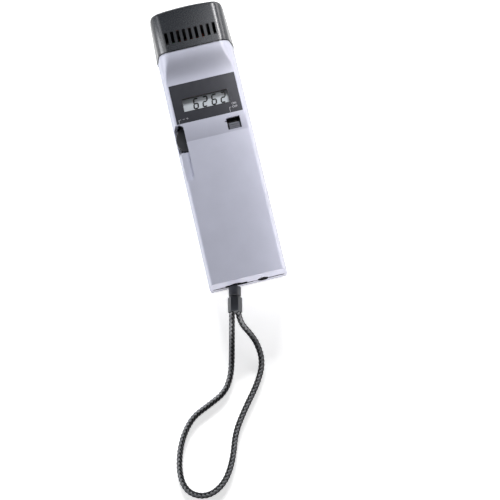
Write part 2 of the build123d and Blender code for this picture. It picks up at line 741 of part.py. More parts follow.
DOOR_WIDTH = BAY_WIDTH + 2 * DOOR_LAND
DOOR_TOP = BAY_BOTTOM + BAY_LENGTH + DOOR_LAND
DOOR_TOP_Z = DOOR_INSET + DOOR_THICK
POCKET_Z = DOOR_TOP_Z + SLIP
FRAME_Z = POCKET_Z + DOOR_FRAME
BAY_HEAD_Z = BAY_TOP_Z + BAY_WALL
BUSH_Y = y_at(DOOR_TOP + DOOR_LAND + BUSH_D / 2 + BUSH_WALL + BUSH_CLEAR)

with BuildPart() as rear_skin:
    extrude(rear_section(0, 0), amount=-NECK)
    extrude(rear_section(NECK, SEAM_DEPTH), amount=-SEAM_GAP)
    add(end_form.part, mode=Mode.INTERSECT)

with BuildPart() as rear_collar:
    add(spigot.part)
    split(bisect_by=Plane.XY.offset(JOINT_Z), keep=Keep.BOTTOM)

with BuildPart() as door_pocket:
    # Room for the battery door and its two rails, open at the strap end
    with BuildSketch(Plane.XY.offset(-1)):
        with Locations((BAY_X, y_at(DOOR_TOP) + SLIP)):
            Rectangle(DOOR_WIDTH + 2 * SLIP, LENGTH, align=(Align.CENTER, Align.MAX))
    extrude(amount=POCKET_Z + 1)
    with BuildSketch(Plane.XY.offset(DOOR_TOP_Z - DOOR_RAIL_THICK - SLIP)):
        with Locations((BAY_X, y_at(DOOR_TOP) + SLIP)):
            Rectangle(DOOR_WIDTH + 2 * DOOR_RAIL + 2 * SLIP, LENGTH, align=(Align.CENTER, Align.MAX))
    extrude(amount=DOOR_RAIL_THICK + 2 * SLIP)

with BuildPart() as rear_limit:
    # Space that the inner features of the rear shell may fill
    add(rear_skin.part)
    with BuildSketch(Plane.XY.offset(JOINT_Z)):
        with Locations((BAY_X, y_at(BAY_BOTTOM) + BAY_LENGTH / 2)):
            Rectangle(BAY_WIDTH + 2 * BAY_WALL, BAY_LENGTH + 2 * BAY_WALL)
    extrude(amount=BAY_HEAD_Z - JOINT_Z)

with BuildPart() as rear_features:
    # Screw bosses and the boss of the tripod bush
    with BuildSketch(Plane.XY):
        with Locations(SCREW_POINTS):
            Circle(BOSS_R)
    extrude(amount=BOSS_MEET_Z)
    with BuildSketch(Plane.XY):
        with Locations((0, BUSH_Y)):
            Circle(BUSH_D / 2 + BUSH_WALL)
    extrude(amount=BUSH_LENGTH + WALL)
    # Frame round the door, then the battery bay
    with BuildSketch(Plane.XY):
        with Locations((BAY_X, y_at(0))):
            Rectangle(
                DOOR_WIDTH + 2 * DOOR_RAIL + 2 * DOOR_LAND,
                DOOR_TOP + DOOR_LAND,
                align=(Align.CENTER, Align.MIN),
            )
    extrude(amount=FRAME_Z)
    with BuildSketch(Plane.XY):
        with Locations((BAY_X, y_at(BAY_BOTTOM) + BAY_LENGTH / 2)):
            Rectangle(BAY_WIDTH + 2 * BAY_WALL, BAY_LENGTH + 2 * BAY_WALL)
    extrude(amount=BAY_HEAD_Z)
    # Boss under the strap pin and the bed of the charging socket
    with BuildSketch(Plane.XY):
        with Locations((PIVOT_X, PIVOT_Y)):
            Circle(PIN_D / 2 + PIN_BOSS_WALL)
    extrude(amount=JOINT_Z - TONGUE_THICK / 2 - RUN)
    with BuildSketch(Plane.XY):
        with Locations((JACK_X, y_at(JACK_RECESS + JACK_COLLAR + JACK_RIB))):
            Rectangle(JACK_BODY, 2 * JACK_RIB)
    extrude(amount=JOINT_Z - JACK_BODY / 2)
    # Cradle ribs under the flash capacitor
    with BuildSketch(Plane.XY):
        with Locations((CAP_X, CAP_Y)):
            with GridLocations(0, CAP_LENGTH / 2, 1, 2):
                Rectangle(CAP_D, 1.6)
    extrude(amount=CAP_Z - CAP_D / 4)
    with BuildSketch(Plane.XZ.offset(-CAP_Y - CAP_LENGTH / 2)):
        with Locations((CAP_X, CAP_Z)):
            Circle(CAP_D / 2 + SLIP)
    extrude(amount=CAP_LENGTH, mode=Mode.SUBTRACT)
    add(rear_limit.part, mode=Mode.INTERSECT)

with BuildPart() as rear_shell:
    add(rear_skin.part)
    add(rear_cavity.part, mode=Mode.SUBTRACT)
    add(rear_collar.part)
    add(rear_features.part)
    # Battery bay and door pocket
    with BuildSketch(Plane.XY.offset(POCKET_Z - 1)):
        with Locations((BAY_X, y_at(BAY_BOTTOM) + BAY_LENGTH / 2)):
            Rectangle(BAY_WIDTH, BAY_LENGTH)
    extrude(amount=BAY_TOP_Z - POCKET_Z + 1, mode=Mode.SUBTRACT)
    add(door_pocket.part, mode=Mode.SUBTRACT)
    # Strap slot, relief and socket opening
    with BuildSketch(END_PLANE.offset(1)):
        with Locations((PIVOT_X, JOINT_Z)):
            Rectangle(SLOT_WIDTH, SLOT_HEIGHT)
        with Locations((JACK_X, JOINT_Z)):
            Circle(JACK_OPENING_D / 2)
    extrude(amount=-WALL - 2, mode=Mode.SUBTRACT)
    with BuildSketch(END_PLANE):
        with Locations((PIVOT_X, JOINT_Z)):
            Circle(BARREL_D / 2 + RELIEF_MARGIN)
    extrude(amount=-RELIEF_DEPTH, mode=Mode.SUBTRACT)
    # Holes for the strap pin, the tripod bush and the case screws
    with BuildSketch(Plane.XY.offset(JOINT_Z)):
        with Locations((PIVOT_X, PIVOT_Y)):
            Circle(PIN_D / 2 + PIVOT_CLEAR)
    extrude(amount=-PIN_REACH - RUN, mode=Mode.SUBTRACT)
    with BuildSketch(Plane.XY):
        with Locations((0, BUSH_Y)):
            Circle(BUSH_D / 2)
    extrude(amount=BUSH_LENGTH + BUSH_INSET, mode=Mode.SUBTRACT)
    with BuildSketch(Plane.XY):
        with Locations(SCREW_POINTS):
            Circle(SCREW_D / 2 + SLIP)
    extrude(amount=BOSS_MEET_Z, mode=Mode.SUBTRACT)
    with BuildSketch(Plane.XY):
        with Locations(SCREW_POINTS):
            Circle(SCREW_HEAD_D / 2 + SLIP)
    extrude(amount=SCREW_SINK, mode=Mode.SUBTRACT)
rear_shell.part.label = "rear_shell"
export_step(rear_shell.part, "parts/rear_shell.step")

with BuildPart() as battery_door:
    with BuildSketch(Plane.XY.offset(DOOR_INSET)):
        with Locations((BAY_X, y_at(0))):
            Rectangle(DOOR_WIDTH, DOOR_TOP, align=(Align.CENTER, Align.MIN))
    extrude(amount=DOOR_THICK)
    with BuildSketch(Plane.XY.offset(DOOR_TOP_Z)):
        with Locations((BAY_X, y_at(BAY_BOTTOM))):
            Rectangle(DOOR_WIDTH + 2 * DOOR_RAIL, BAY_LENGTH, align=(Align.CENTER, Align.MIN))
    extrude(amount=-DOOR_RAIL_THICK)
    add(rear_skin.part, mode=Mode.INTERSECT)
    # Thumb grooves
    with BuildSketch(Plane.XY.offset(DOOR_INSET)):
        with Locations((BAY_X, y_at(BAY_BOTTOM) + 4 * DOOR_GRIP_PITCH)):
            with GridLocations(0, DOOR_GRIP_PITCH, 1, 5):
                Rectangle(DOOR_WIDTH / 2, DOOR_GRIP_PITCH / 2)
    extrude(amount=DOOR_THICK / 4, mode=Mode.SUBTRACT)
battery_door.part.label = "battery_door"
export_step(battery_door.part, "parts/battery_door.step")

# Label and display

with BuildPart() as label_panel:
    with BuildSketch(Plane.XY.offset(LABEL_Z - LABEL_THICK)):
        with Locations((0, LABEL_Y)):
            RectangleRounded(LABEL_WIDTH, LABEL_HEIGHT, 0.4)
        with Locations((WINDOW_X, WINDOW_Y)):
            Rectangle(WINDOW_WIDTH, WINDOW_HEIGHT, mode=Mode.SUBTRACT)
    extrude(amount=LABEL_THICK)
label_panel.part.label = "label_panel"
export_step(label_panel.part, "parts/label_panel.step")

GLASS_TOP_Z = LABEL_Z - WALL
GLASS_WIDTH = WINDOW_WIDTH + 2 * GLASS_MARGIN
GLASS_HEIGHT = WINDOW_HEIGHT + 2 * GLASS_MARGIN

with BuildPart() as display_glass:
    with BuildSketch(Plane.XY.offset(GLASS_TOP_Z)):
        with Locations((WINDOW_X, WINDOW_Y)):
            Rectangle(GLASS_WIDTH, GLASS_HEIGHT)
    extrude(amount=-GLASS_THICK)
display_glass.part.label = "display_glass"
export_step(display_glass.part, "parts/display_glass.step")

with BuildPart() as display_frame:
    with BuildSketch(Plane.XY.offset(BOARD_TOP_Z)):
        with Locations((WINDOW_X, WINDOW_Y)):
            Rectangle(GLASS_WIDTH + 2 * BEZEL_WALL, GLASS_HEIGHT + 2 * BEZEL_WALL)
            Rectangle(GLASS_WIDTH - 2 * BEZEL_WALL, GLASS_HEIGHT - 2 * BEZEL_WALL, mode=Mode.SUBTRACT)
    extrude(amount=GLASS_TOP_Z - BOARD_TOP_Z)
    with BuildSketch(Plane.XY.offset(GLASS_TOP_Z)):
        with Locations((WINDOW_X, WINDOW_Y)):
            Rectangle(GLASS_WIDTH + SLIP, GLASS_HEIGHT + SLIP)
    extrude(amount=-GLASS_THICK, mode=Mode.SUBTRACT)
display_frame.part.label = "display_frame"
export_step(display_frame.part, "parts/display_frame.step")

# Main board and what is soldered to it

with BuildPart() as main_board:
    with BuildSketch(Plane.XY.offset(BOARD_TOP_Z)):
        with Locations((0, y_at(BOARD_BOTTOM))):
            Rectangle(BOARD_WIDTH, BOARD_NECK - BOARD_BOTTOM, align=(Align.CENTER, Align.MIN))
        with Locations((0, y_at(BOARD_NECK))):
            Rectangle(BOARD_NECK_WIDTH, BOARD_TOP - BOARD_NECK, align=(Align.CENTER, Align.MIN))
        # Ear that carries the potentiometer
        with Locations((-BOARD_WIDTH / 2 - EAR_REACH, WHEEL_Y)):
            Rectangle(EAR_REACH, POT_SIZE + EAR_REACH, align=(Align.MIN, Align.CENTER))
        with Locations((WHEEL_X, WHEEL_Y)):
            Circle(POT_BUSH_D / 2 + SLIP, mode=Mode.SUBTRACT)
        with Locations(POST_POINTS):
            Circle(BOARD_SCREW_D / 2 + SLIP, mode=Mode.SUBTRACT)
    extrude(amount=-BOARD_THICK)
main_board.part.label = "main_board"
export_step(main_board.part, "parts/main_board.step")

with BuildPart() as logic_chips:
    with BuildSketch(Plane.XY.offset(BOARD_TOP_Z)):
        with Locations((CHIP_X, y_at(CHIP_STATION)), (CHIP_X - CHIP_LENGTH - CHIP_GAP, y_at(CHIP_STATION))):
            Rectangle(CHIP_LENGTH, CHIP_WIDTH)
    extrude(amount=CHIP_HEIGHT)
    chamfer(logic_chips.edges().group_by(Axis.Z)[-1], CHIP_HEIGHT / 6)
logic_chips.part.label = "logic_chips"
export_step(logic_chips.part, "parts/logic_chips.step")

with BuildPart() as trigger_coil:
    # Wound bobbin lying across the board under the cooling slots
    with BuildSketch(Plane.YZ.offset(-COIL_LENGTH / 2)) as coil_end:
        with Locations((y_at(COIL_STATION), BOARD_TOP_Z + COIL_D / 2)):
            Circle(COIL_D / 2)
    extrude(amount=COIL_FLANGE)
    extrude(coil_end.sketch.moved(Location((COIL_LENGTH - COIL_FLANGE, 0, 0))), amount=COIL_FLANGE)
    with BuildSketch(Plane.YZ.offset(-COIL_LENGTH / 2)):
        with Locations((y_at(COIL_STATION), BOARD_TOP_Z + COIL_D / 2)):
            Circle(COIL_D / 2 - COIL_FLANGE)
    extrude(amount=COIL_LENGTH)
trigger_coil.part.label = "trigger_coil"
export_step(trigger_coil.part, "parts/trigger_coil.step")

with BuildPart() as flash_capacitor:
    with BuildSketch(Plane.XZ.offset(-CAP_Y - CAP_LENGTH / 2)):
        with Locations((CAP_X, CAP_Z)):
            Circle(CAP_D / 2)
    extrude(amount=CAP_LENGTH)
    fillet(flash_capacitor.edges().filter_by(GeomType.CIRCLE), 1.0)
flash_capacitor.part.label = "flash_capacitor"
export_step(flash_capacitor.part, "parts/flash_capacitor.step")

with BuildPart() as inverter_transformer:
    # Ferrite core with its bobbin showing at both sides
    with BuildSketch(Plane.XY.offset(BOARD_BOTTOM_Z)):
        with Locations((TRANSFORMER_X, y_at(TRANSFORMER_STATION))):
            Rectangle(TRANSFORMER_WIDTH, TRANSFORMER_LENGTH)
    extrude(amount=-TRANSFORMER_HEIGHT)
    with BuildSketch(Plane.XY.offset(BOARD_BOTTOM_Z - TRANSFORMER_HEIGHT / 5)):
        with Locations((TRANSFORMER_X, y_at(TRANSFORMER_STATION))):
            Rectangle(TRANSFORMER_WIDTH * 0.7, TRANSFORMER_LENGTH + 4)
    extrude(amount=-TRANSFORMER_HEIGHT * 3 / 5)
inverter_transformer.part.label = "inverter_transformer"
export_step(inverter_transformer.part, "parts/inverter_transformer.step")

with BuildPart() as board_screws:
    with BuildSketch(Plane.XY.offset(BOARD_BOTTOM_Z)):
        with Locations(POST_POINTS):
            Circle(BOARD_SCREW_D)
    extrude(amount=-BOARD_SCREW_D / 2)
    with BuildSketch(Plane.XY.offset(BOARD_BOTTOM_Z)):
        with Locations(POST_POINTS):
            Circle(BOARD_SCREW_D / 2)
    extrude(amount=BOARD_THICK + BOARD_SCREW_REACH)
board_screws.part.label = "board_screws"
export_step(board_screws.part, "parts/board_screws.step")

# Slide switch

KNOB_Y = y_at(SWITCH_BOTTOM) + RUN + KNOB_HEIGHT / 2
KNOB_TRAVEL = SWITCH_HEIGHT - KNOB_HEIGHT - 2 * RUN
STEM_BOTTOM_Z = SWITCH_BODY_Z - STEM_SIZE
SHUTTER_LENGTH = KNOB_HEIGHT + 2 * KNOB_TRAVEL + 1

with BuildPart() as switch_body:
    with BuildSketch(Plane.XY.offset(BOARD_TOP_Z)):
        with Locations((SWITCH_X, KNOB_Y + KNOB_TRAVEL / 2)):
            Rectangle(SWITCH_BODY_WIDTH, SWITCH_BODY_LENGTH)
    extrude(amount=SWITCH_BODY_Z - BOARD_TOP_Z)
    fillet(switch_body.edges().filter_by(Axis.Z), 0.6)
    with BuildSketch(Plane.XY.offset(SWITCH_BODY_Z)):
        with Locations((SWITCH_X, KNOB_Y + KNOB_TRAVEL / 2)):
            Rectangle(STEM_SIZE + 2 * SLIP, STEM_SIZE + KNOB_TRAVEL + 2 * SLIP)
    extrude(amount=-STEM_SIZE - SLIP, mode=Mode.SUBTRACT)
switch_body.part.label = "switch_body"
export_step(switch_body.part, "parts/switch_body.step")

with BuildPart() as switch_shutter:
    with BuildSketch(Plane.XY.offset(SWITCH_BODY_Z + SLIP)):
        with Locations((SWITCH_X, KNOB_Y)):
            Rectangle(SHUTTER_WIDTH, SHUTTER_LENGTH)
            Rectangle(STEM_SIZE + SLIP, STEM_SIZE + SLIP, mode=Mode.SUBTRACT)
    extrude(amount=SHUTTER_THICK)
switch_shutter.part.label = "switch_shutter"
export_step(switch_shutter.part, "parts/switch_shutter.step")

with BuildPart() as switch_knob:
    knob_low_z = SWITCH_BODY_Z + SLIP + SHUTTER_THICK
    with BuildSketch(Plane.XY.offset(knob_low_z)):
        with Locations((SWITCH_X, KNOB_Y)):
            Rectangle(KNOB_WIDTH, KNOB_HEIGHT)
    extrude(amount=KNOB_TOP_Z - knob_low_z)
    chamfer(switch_knob.edges().group_by(Axis.Z)[-1], KNOB_CHAMFER)
    # Two grip grooves across the top
    with BuildSketch(Plane.XY.offset(KNOB_TOP_Z)):
        with Locations((SWITCH_X, KNOB_Y)):
            with GridLocations(0, KNOB_HEIGHT / 3, 1, 2):
                Rectangle(KNOB_WIDTH - 2, KNOB_HEIGHT / 9)
    extrude(amount=-GRIP_DEPTH, mode=Mode.SUBTRACT)
    with BuildSketch(Plane.XY.offset(STEM_BOTTOM_Z)):
        with Locations((SWITCH_X, KNOB_Y)):
            Rectangle(STEM_SIZE, STEM_SIZE)
    extrude(amount=knob_low_z - STEM_BOTTOM_Z)
switch_knob.part.label = "switch_knob"
export_step(switch_knob.part, "parts/switch_knob.step")

# Tuning wheel

SHAFT_BOTTOM_Z = BOARD_BOTTOM_Z - POT_HEIGHT / 2
POT_BUSH_Z = WHEEL_LOW_Z - RUN

with BuildPart() as potentiometer:
    with BuildSketch(Plane.XY.offset(BOARD_BOTTOM_Z)):
        with Locations((WHEEL_X, WHEEL_Y)):
            RectangleRounded(POT_SIZE, POT_SIZE, 1)
    extrude(amount=-POT_HEIGHT)
    with BuildSketch(Plane.XY.offset(BOARD_BOTTOM_Z)):
        with Locations((WHEEL_X, WHEEL_Y)):
            Circle(POT_BUSH_D / 2)
    extrude(amount=POT_BUSH_Z - BOARD_BOTTOM_Z)
    with BuildSketch(Plane.XY.offset(SHAFT_BOTTOM_Z - RUN)):
        with Locations((WHEEL_X, WHEEL_Y)):
            Circle(SHAFT_D / 2 + PIVOT_CLEAR)
    extrude(amount=PART_SPAN, mode=Mode.SUBTRACT)
potentiometer.part.label = "potentiometer"
export_step(potentiometer.part, "parts/potentiometer.step")

with BuildPart() as wheel_shaft:
    with BuildSketch(Plane.XY.offset(SHAFT_BOTTOM_Z)):
        with Locations((WHEEL_X, WHEEL_Y)):
            Circle(SHAFT_D / 2)
    extrude(amount=WHEEL_TOP_Z - SHAFT_BOTTOM_Z)
    chamfer(wheel_shaft.edges().group_by(Axis.Z)[-1], 0.4)
wheel_shaft.part.label = "wheel_shaft"
export_step(wheel_shaft.part, "parts/wheel_shaft.step")

with BuildPart() as tune_wheel:
    with BuildSketch(Plane.XY.offset(WHEEL_LOW_Z)):
        with Locations((WHEEL_X, WHEEL_Y)):
            Circle(WHEEL_R)
    extrude(amount=WHEEL_THICK)
    chamfer(tune_wheel.edges().filter_by(GeomType.CIRCLE), 0.5)
    # Finger notches round the rim, and the shaft hole
    with BuildSketch(Plane.XY.offset(WHEEL_LOW_Z)):
        with Locations((WHEEL_X, WHEEL_Y)):
            with PolarLocations(WHEEL_R + NOTCH_R / 2, WHEEL_NOTCHES):
                RegularPolygon(NOTCH_R, 6)
            Circle(SHAFT_D / 2)
    extrude(amount=WHEEL_THICK, mode=Mode.SUBTRACT)
tune_wheel.part.label = "tune_wheel"
export_step(tune_wheel.part, "parts/tune_wheel.step")

# Charging socket

with BuildPart() as charge_jack:
    with BuildSketch(END_PLANE.offset(-JACK_RECESS)):
        with Locations((JACK_X, JOINT_Z)):
            Circle(JACK_D / 2)
    extrude(amount=-JACK_COLLAR)
    with BuildSketch(END_PLANE.offset(-JACK_RECESS - JACK_COLLAR)):
        with Locations((JACK_X, JOINT_Z)):
            Rectangle(JACK_BODY, JACK_BODY)
    extrude(amount=JACK_COLLAR - JACK_LENGTH)
    with BuildSketch(END_PLANE.offset(-JACK_RECESS)):
        with Locations((JACK_X, JOINT_Z)):
            Circle(JACK_BORE_D / 2)
    extrude(amount=-JACK_BORE_DEPTH, mode=Mode.SUBTRACT)
charge_jack.part.label = "charge_jack"
export_step(charge_jack.part, "parts/charge_jack.step")

# Batteries: two columns of two cells that point opposite ways, in series

COLUMNS = [(BAY_X - (CELL_D + CELL_GAP) / 2, 1), (BAY_X + (CELL_D + CELL_GAP) / 2, -1)]
BAY_MIDDLE_Y = y_at(BAY_BOTTOM) + BAY_LENGTH / 2


def column_plane(x, way, offset):
    """Plane across a column of cells, facing the way the positive ends point from the spring."""
    spring_end = BAY_MIDDLE_Y - way * BAY_LENGTH / 2
    return Plane(origin=(x, spring_end + way * offset, CELL_Z), x_dir=(1, 0, 0), z_dir=(0, way, 0))


FIRST_CELL = PLATE_THICK + SPRING_LENGTH
number = 0
for column_x, way in COLUMNS:
    for place in range(2):
        number += 1
        seat = FIRST_CELL + place * (CELL_LENGTH + CELL_GAP / 2)
        with BuildPart() as cell:
            with BuildSketch(column_plane(column_x, way, seat)):
                Circle(CELL_D / 2)
            extrude(amount=CELL_LENGTH - NUB_LENGTH)
            fillet(cell.edges().filter_by(GeomType.CIRCLE), 0.6)
            with BuildSketch(column_plane(column_x, way, seat + CELL_LENGTH - NUB_LENGTH)):
                Circle(NUB_D / 2)
            extrude(amount=NUB_LENGTH)
        cell.part.label = f"battery_cell_{number}"
        export_step(cell.part, f"parts/battery_cell_{number}.step")

with BuildPart() as contact_plates:
    # One plate joins the columns at the strap end, two separate ones are the terminals
    for column_x, way in COLUMNS:
        with BuildSketch(Plane.XZ.offset(-y_at(BAY_BOTTOM) - BAY_LENGTH)):
            with Locations((column_x, CELL_Z)):
                Rectangle(CELL_D - 2, CONTACT_HEIGHT)
        extrude(amount=PLATE_THICK)
    with BuildSketch(Plane.XZ.offset(-y_at(BAY_BOTTOM))):
        with Locations((BAY_X, CELL_Z)):
            Rectangle(2 * CELL_D - 2, CONTACT_HEIGHT)
    extrude(amount=-PLATE_THICK)
contact_plates.part.label = "contact_plates"
export_step(contact_plates.part, "parts/contact_plates.step")

with BuildPart() as contact_springs:
    # Conical springs, one on each negative end, drawn as closed turns that narrow to the cell
    for column_x, way in COLUMNS:
        for turn in range(SPRING_TURNS):
            rise = PLATE_THICK + SPRING_WIRE / 2 + turn * (SPRING_LENGTH - SPRING_WIRE) / (SPRING_TURNS - 1)
            with Locations(column_plane(column_x, way, rise)):
                Torus(SPRING_R - turn * SPRING_NARROW, SPRING_WIRE / 2)
contact_springs.part.label = "contact_springs"
export_step(contact_springs.part, "parts/contact_springs.step")

# Strap: pin, swivel, ferrule and cord

LEAN = radians(STRAP_LEAN)
STRAP_WAY = (-sin(LEAN), -cos(LEAN), 0)
STRAP_SIDE = (cos(LEAN), -sin(LEAN), 0)


def strap_plane(distance):
    """Plane across the strap's axis, a distance from the pin."""
    origin = (PIVOT_X + STRAP_WAY[0] * distance, PIVOT_Y + STRAP_WAY[1] * distance, JOINT_Z)
    return Plane(origin=origin, x_dir=STRAP_SIDE, z_dir=STRAP_WAY)


BARREL_END = BARREL_START + BARREL_LENGTH
FERRULE_START = BARREL_END + NECK_LENGTH
FERRULE_END = FERRULE_START + FERRULE_LENGTH

with BuildPart() as strap_pin:
    with BuildSketch(Plane.XY.offset(JOINT_Z - PIN_REACH)):
        with Locations((PIVOT_X, PIVOT_Y)):
            Circle(PIN_D / 2)
    extrude(amount=2 * PIN_REACH)
    chamfer(strap_pin.edges().filter_by(GeomType.CIRCLE), 0.3)
strap_pin.part.label = "strap_pin"
export_step(strap_pin.part, "parts/strap_pin.step")

with BuildPart() as strap_swivel:
    with BuildSketch(strap_plane(BARREL_START)):
        Circle(BARREL_D / 2)
    extrude(amount=BARREL_LENGTH)
    fillet(strap_swivel.edges().filter_by(GeomType.CIRCLE), 0.8)
    with BuildSketch(strap_plane(BARREL_END)):
        Circle(NECK_D / 2)
    extrude(amount=NECK_LENGTH)
    # Flat tongue with its eye on the pin
    with BuildSketch(strap_plane(0)):
        Rectangle(TONGUE_WIDTH, TONGUE_THICK)
    extrude(amount=BARREL_START + 1)
    with BuildSketch(Plane.XY.offset(JOINT_Z - TONGUE_THICK / 2)):
        with Locations((PIVOT_X, PIVOT_Y)):
            Circle(EYE_R)
    extrude(amount=TONGUE_THICK)
    with BuildSketch(Plane.XY.offset(JOINT_Z - TONGUE_THICK)):
        with Locations((PIVOT_X, PIVOT_Y)):
            Circle(PIN_D / 2 + PIVOT_CLEAR)
    extrude(amount=2 * TONGUE_THICK, mode=Mode.SUBTRACT)
strap_swivel.part.label = "strap_swivel"
export_step(strap_swivel.part, "parts/strap_swivel.step")

with BuildPart() as strap_ferrule:
    with BuildSketch(strap_plane(FERRULE_START)):
        RegularPolygon(FERRULE_ACROSS / 2, 6)
    extrude(amount=FERRULE_LENGTH)
    with BuildSketch(strap_plane(FERRULE_START)):
        Circle(FERRULE_ACROSS / 2 - FERRULE_RIM / 4)
    extrude(amount=FERRULE_LENGTH, mode=Mode.INTERSECT)
    chamfer(strap_ferrule.faces().sort_by(Axis.Y)[0].edges(), FERRULE_RIM / 2)
    # Mouths of the two cord ends
    with BuildSketch(strap_plane(FERRULE_END)):
        with Locations((-CORD_SPREAD, 0), (CORD_SPREAD, 0)):
            Circle(CORD_D / 2 + SLIP)
    extrude(amount=-FERRULE_MOUTH, mode=Mode.SUBTRACT)
strap_ferrule.part.label = "strap_ferrule"
export_step(strap_ferrule.part, "parts/strap_ferrule.step")


def ferrule_mouth(side):
    """Centre of one of the two cord ends on the ferrule's end face."""
    plane = strap_plane(FERRULE_END)
    return plane.from_local_coords((side * CORD_SPREAD, 0, 0))


CORD_REST_Z = 2.4
LOOP_POINTS = [
    (-20.4, -146.3, 18.2),
    (-23.4, -157.6, 12.2),
    (-26.5, -169.0, 5.4),
    (-30.2, -181.2, CORD_REST_Z),
    (-37.6, -192.6, CORD_REST_Z),
    (-51.5, -199.4, CORD_REST_Z),
    (-66.5, -206.0, CORD_REST_Z),
    (-77.6, -220.5, CORD_REST_Z),
    (-84.0, -238.0, CORD_REST_Z),
    (-85.2, -252.6, CORD_REST_Z),
    (-81.6, -262.6, CORD_REST_Z),
    (-72.6, -268.2, CORD_REST_Z),
    (-62.0, -267.5, CORD_REST_Z),
    (-51.0, -259.6, CORD_REST_Z),
    (-42.3, -244.0, CORD_REST_Z),
    (-36.6, -225.5, CORD_REST_Z),
    (-25.0, -208.5, CORD_REST_Z),
    (-11.5, -191.8, CORD_REST_Z),
    (-3.4, -176.0, 3.2),
    (-4.3, -162.0, 8.4),
    (-8.2, -153.4, 13.0),
    (-11.7, -148.4, 16.7),
    (-13.35, -142.6, 18.7),
]
route = [ferrule_mouth(-1)] + [Vector(point) for point in LOOP_POINTS] + [ferrule_mouth(1)]


def corner_radii(points):
    """Largest tidy arc at each inner point: 0.45 of the shorter run over the tangent of half the turn."""
    radii = []
    for before, point, after in zip(points, points[1:], points[2:]):
        inward = point - before
        outward = after - point
        half_turn = radians(inward.get_angle(outward)) / 2
        radii.append(0.45 * min(inward.length, outward.length) / tan(half_turn))
    return radii


cord_radii = corner_radii(route)
print("cord radii", [round(radius, 1) for radius in cord_radii])
print("cord runs", [round((b - a).length, 1) for a, b in zip(route, route[1:])])

with BuildPart() as wrist_cord:
    with BuildLine() as path:
        FilletPolyline(*route, radius=cord_radii)
    cord_line = path.wires()[0]
    with BuildSketch(Plane(origin=cord_line @ 0, z_dir=cord_line % 0)):
        Circle(CORD_D / 2)
    sweep()
wrist_cord.part.label = "wrist_cord"
export_step(wrist_cord.part, "parts/wrist_cord.step")
cord_solid = pi * CORD_D**2 / 4 * cord_line.length
print("cord length", round(cord_line.length, 1), "volume share", round(wrist_cord.part.volume / cord_solid, 4))

# Fasteners and bush of the rear shell

with BuildPart() as case_screws:
    with BuildSketch(Plane.XY.offset(SCREW_SINK)):
        with Locations(SCREW_POINTS):
            Circle(SCREW_HEAD_D / 2)
    extrude(amount=-SCREW_HEAD_THICK)
    with BuildSketch(Plane.XY.offset(SCREW_SINK)):
        with Locations(SCREW_POINTS):
            Circle(SCREW_D / 2)
    extrude(amount=SCREW_LENGTH)
case_screws.part.label = "case_screws"
export_step(case_screws.part, "parts/case_screws.step")

with BuildPart() as tripod_bush:
    with BuildSketch(Plane.XY.offset(BUSH_INSET)):
        with Locations((0, BUSH_Y)):
            Circle(BUSH_D / 2)
            Circle(BUSH_HOLE_D / 2, mode=Mode.SUBTRACT)
    extrude(amount=BUSH_LENGTH)
tripod_bush.part.label = "tripod_bush"
export_step(tripod_bush.part, "parts/tripod_bush.step")
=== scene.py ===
"""Dresses the handheld stroboscope: finishes, display, dark pieces of painted shade, screws, wrist
cord, light and camera.

Lengths in the classes are millimetres and become metres in the meshes. The instrument lies on its
rear face: +X right, +Y towards the lamp head, +Z out of the display side.
"""

from __future__ import annotations

import json
import logging
import math
from contextlib import contextmanager
from dataclasses import dataclass
from enum import Enum
from typing import Callable, Iterator, Sequence

import bmesh
import bpy
from mathutils import Matrix, Vector

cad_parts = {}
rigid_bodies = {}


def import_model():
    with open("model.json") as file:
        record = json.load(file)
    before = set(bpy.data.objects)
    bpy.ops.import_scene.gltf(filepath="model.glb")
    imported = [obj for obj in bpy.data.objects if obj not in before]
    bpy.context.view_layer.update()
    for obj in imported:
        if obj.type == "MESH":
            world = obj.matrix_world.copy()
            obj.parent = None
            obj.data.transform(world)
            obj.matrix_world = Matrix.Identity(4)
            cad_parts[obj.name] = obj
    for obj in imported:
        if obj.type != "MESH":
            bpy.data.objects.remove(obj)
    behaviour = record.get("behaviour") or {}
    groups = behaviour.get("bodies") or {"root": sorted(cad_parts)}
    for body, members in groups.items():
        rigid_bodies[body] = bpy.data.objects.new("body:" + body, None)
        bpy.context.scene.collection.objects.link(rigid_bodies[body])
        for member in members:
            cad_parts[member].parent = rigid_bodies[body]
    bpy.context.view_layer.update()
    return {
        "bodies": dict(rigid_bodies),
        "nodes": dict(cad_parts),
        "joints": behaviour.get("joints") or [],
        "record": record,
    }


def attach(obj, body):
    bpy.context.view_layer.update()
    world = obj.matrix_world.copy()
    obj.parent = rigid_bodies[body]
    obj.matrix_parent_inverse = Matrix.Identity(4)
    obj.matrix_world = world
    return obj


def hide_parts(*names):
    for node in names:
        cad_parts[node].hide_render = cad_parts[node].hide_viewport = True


log = logging.getLogger("stroboscope")

Colour = tuple[float, float, float]
Point = tuple[float, float, float]
Socket = bpy.types.NodeSocket
FaceTest = Callable[[Vector, Vector], bool]  # takes a face's centre and normal
EdgeTest = Callable[[Vector, Vector], bool]  # takes the two ends of an edge

MM = 0.001
NEAR = 1e-5  # metres within which two places count as one
FACING = 0.9  # share of a normal along an axis, past which its face counts as facing that way
BAND = math.tau / 20  # scale at which a wave texture has one band in each unit
WHITE: Colour = (1.0, 1.0, 1.0)


class Body(str, Enum):
    """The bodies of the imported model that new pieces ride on."""

    CASE = "case"
    DOOR = "door"
    STRAP = "strap"


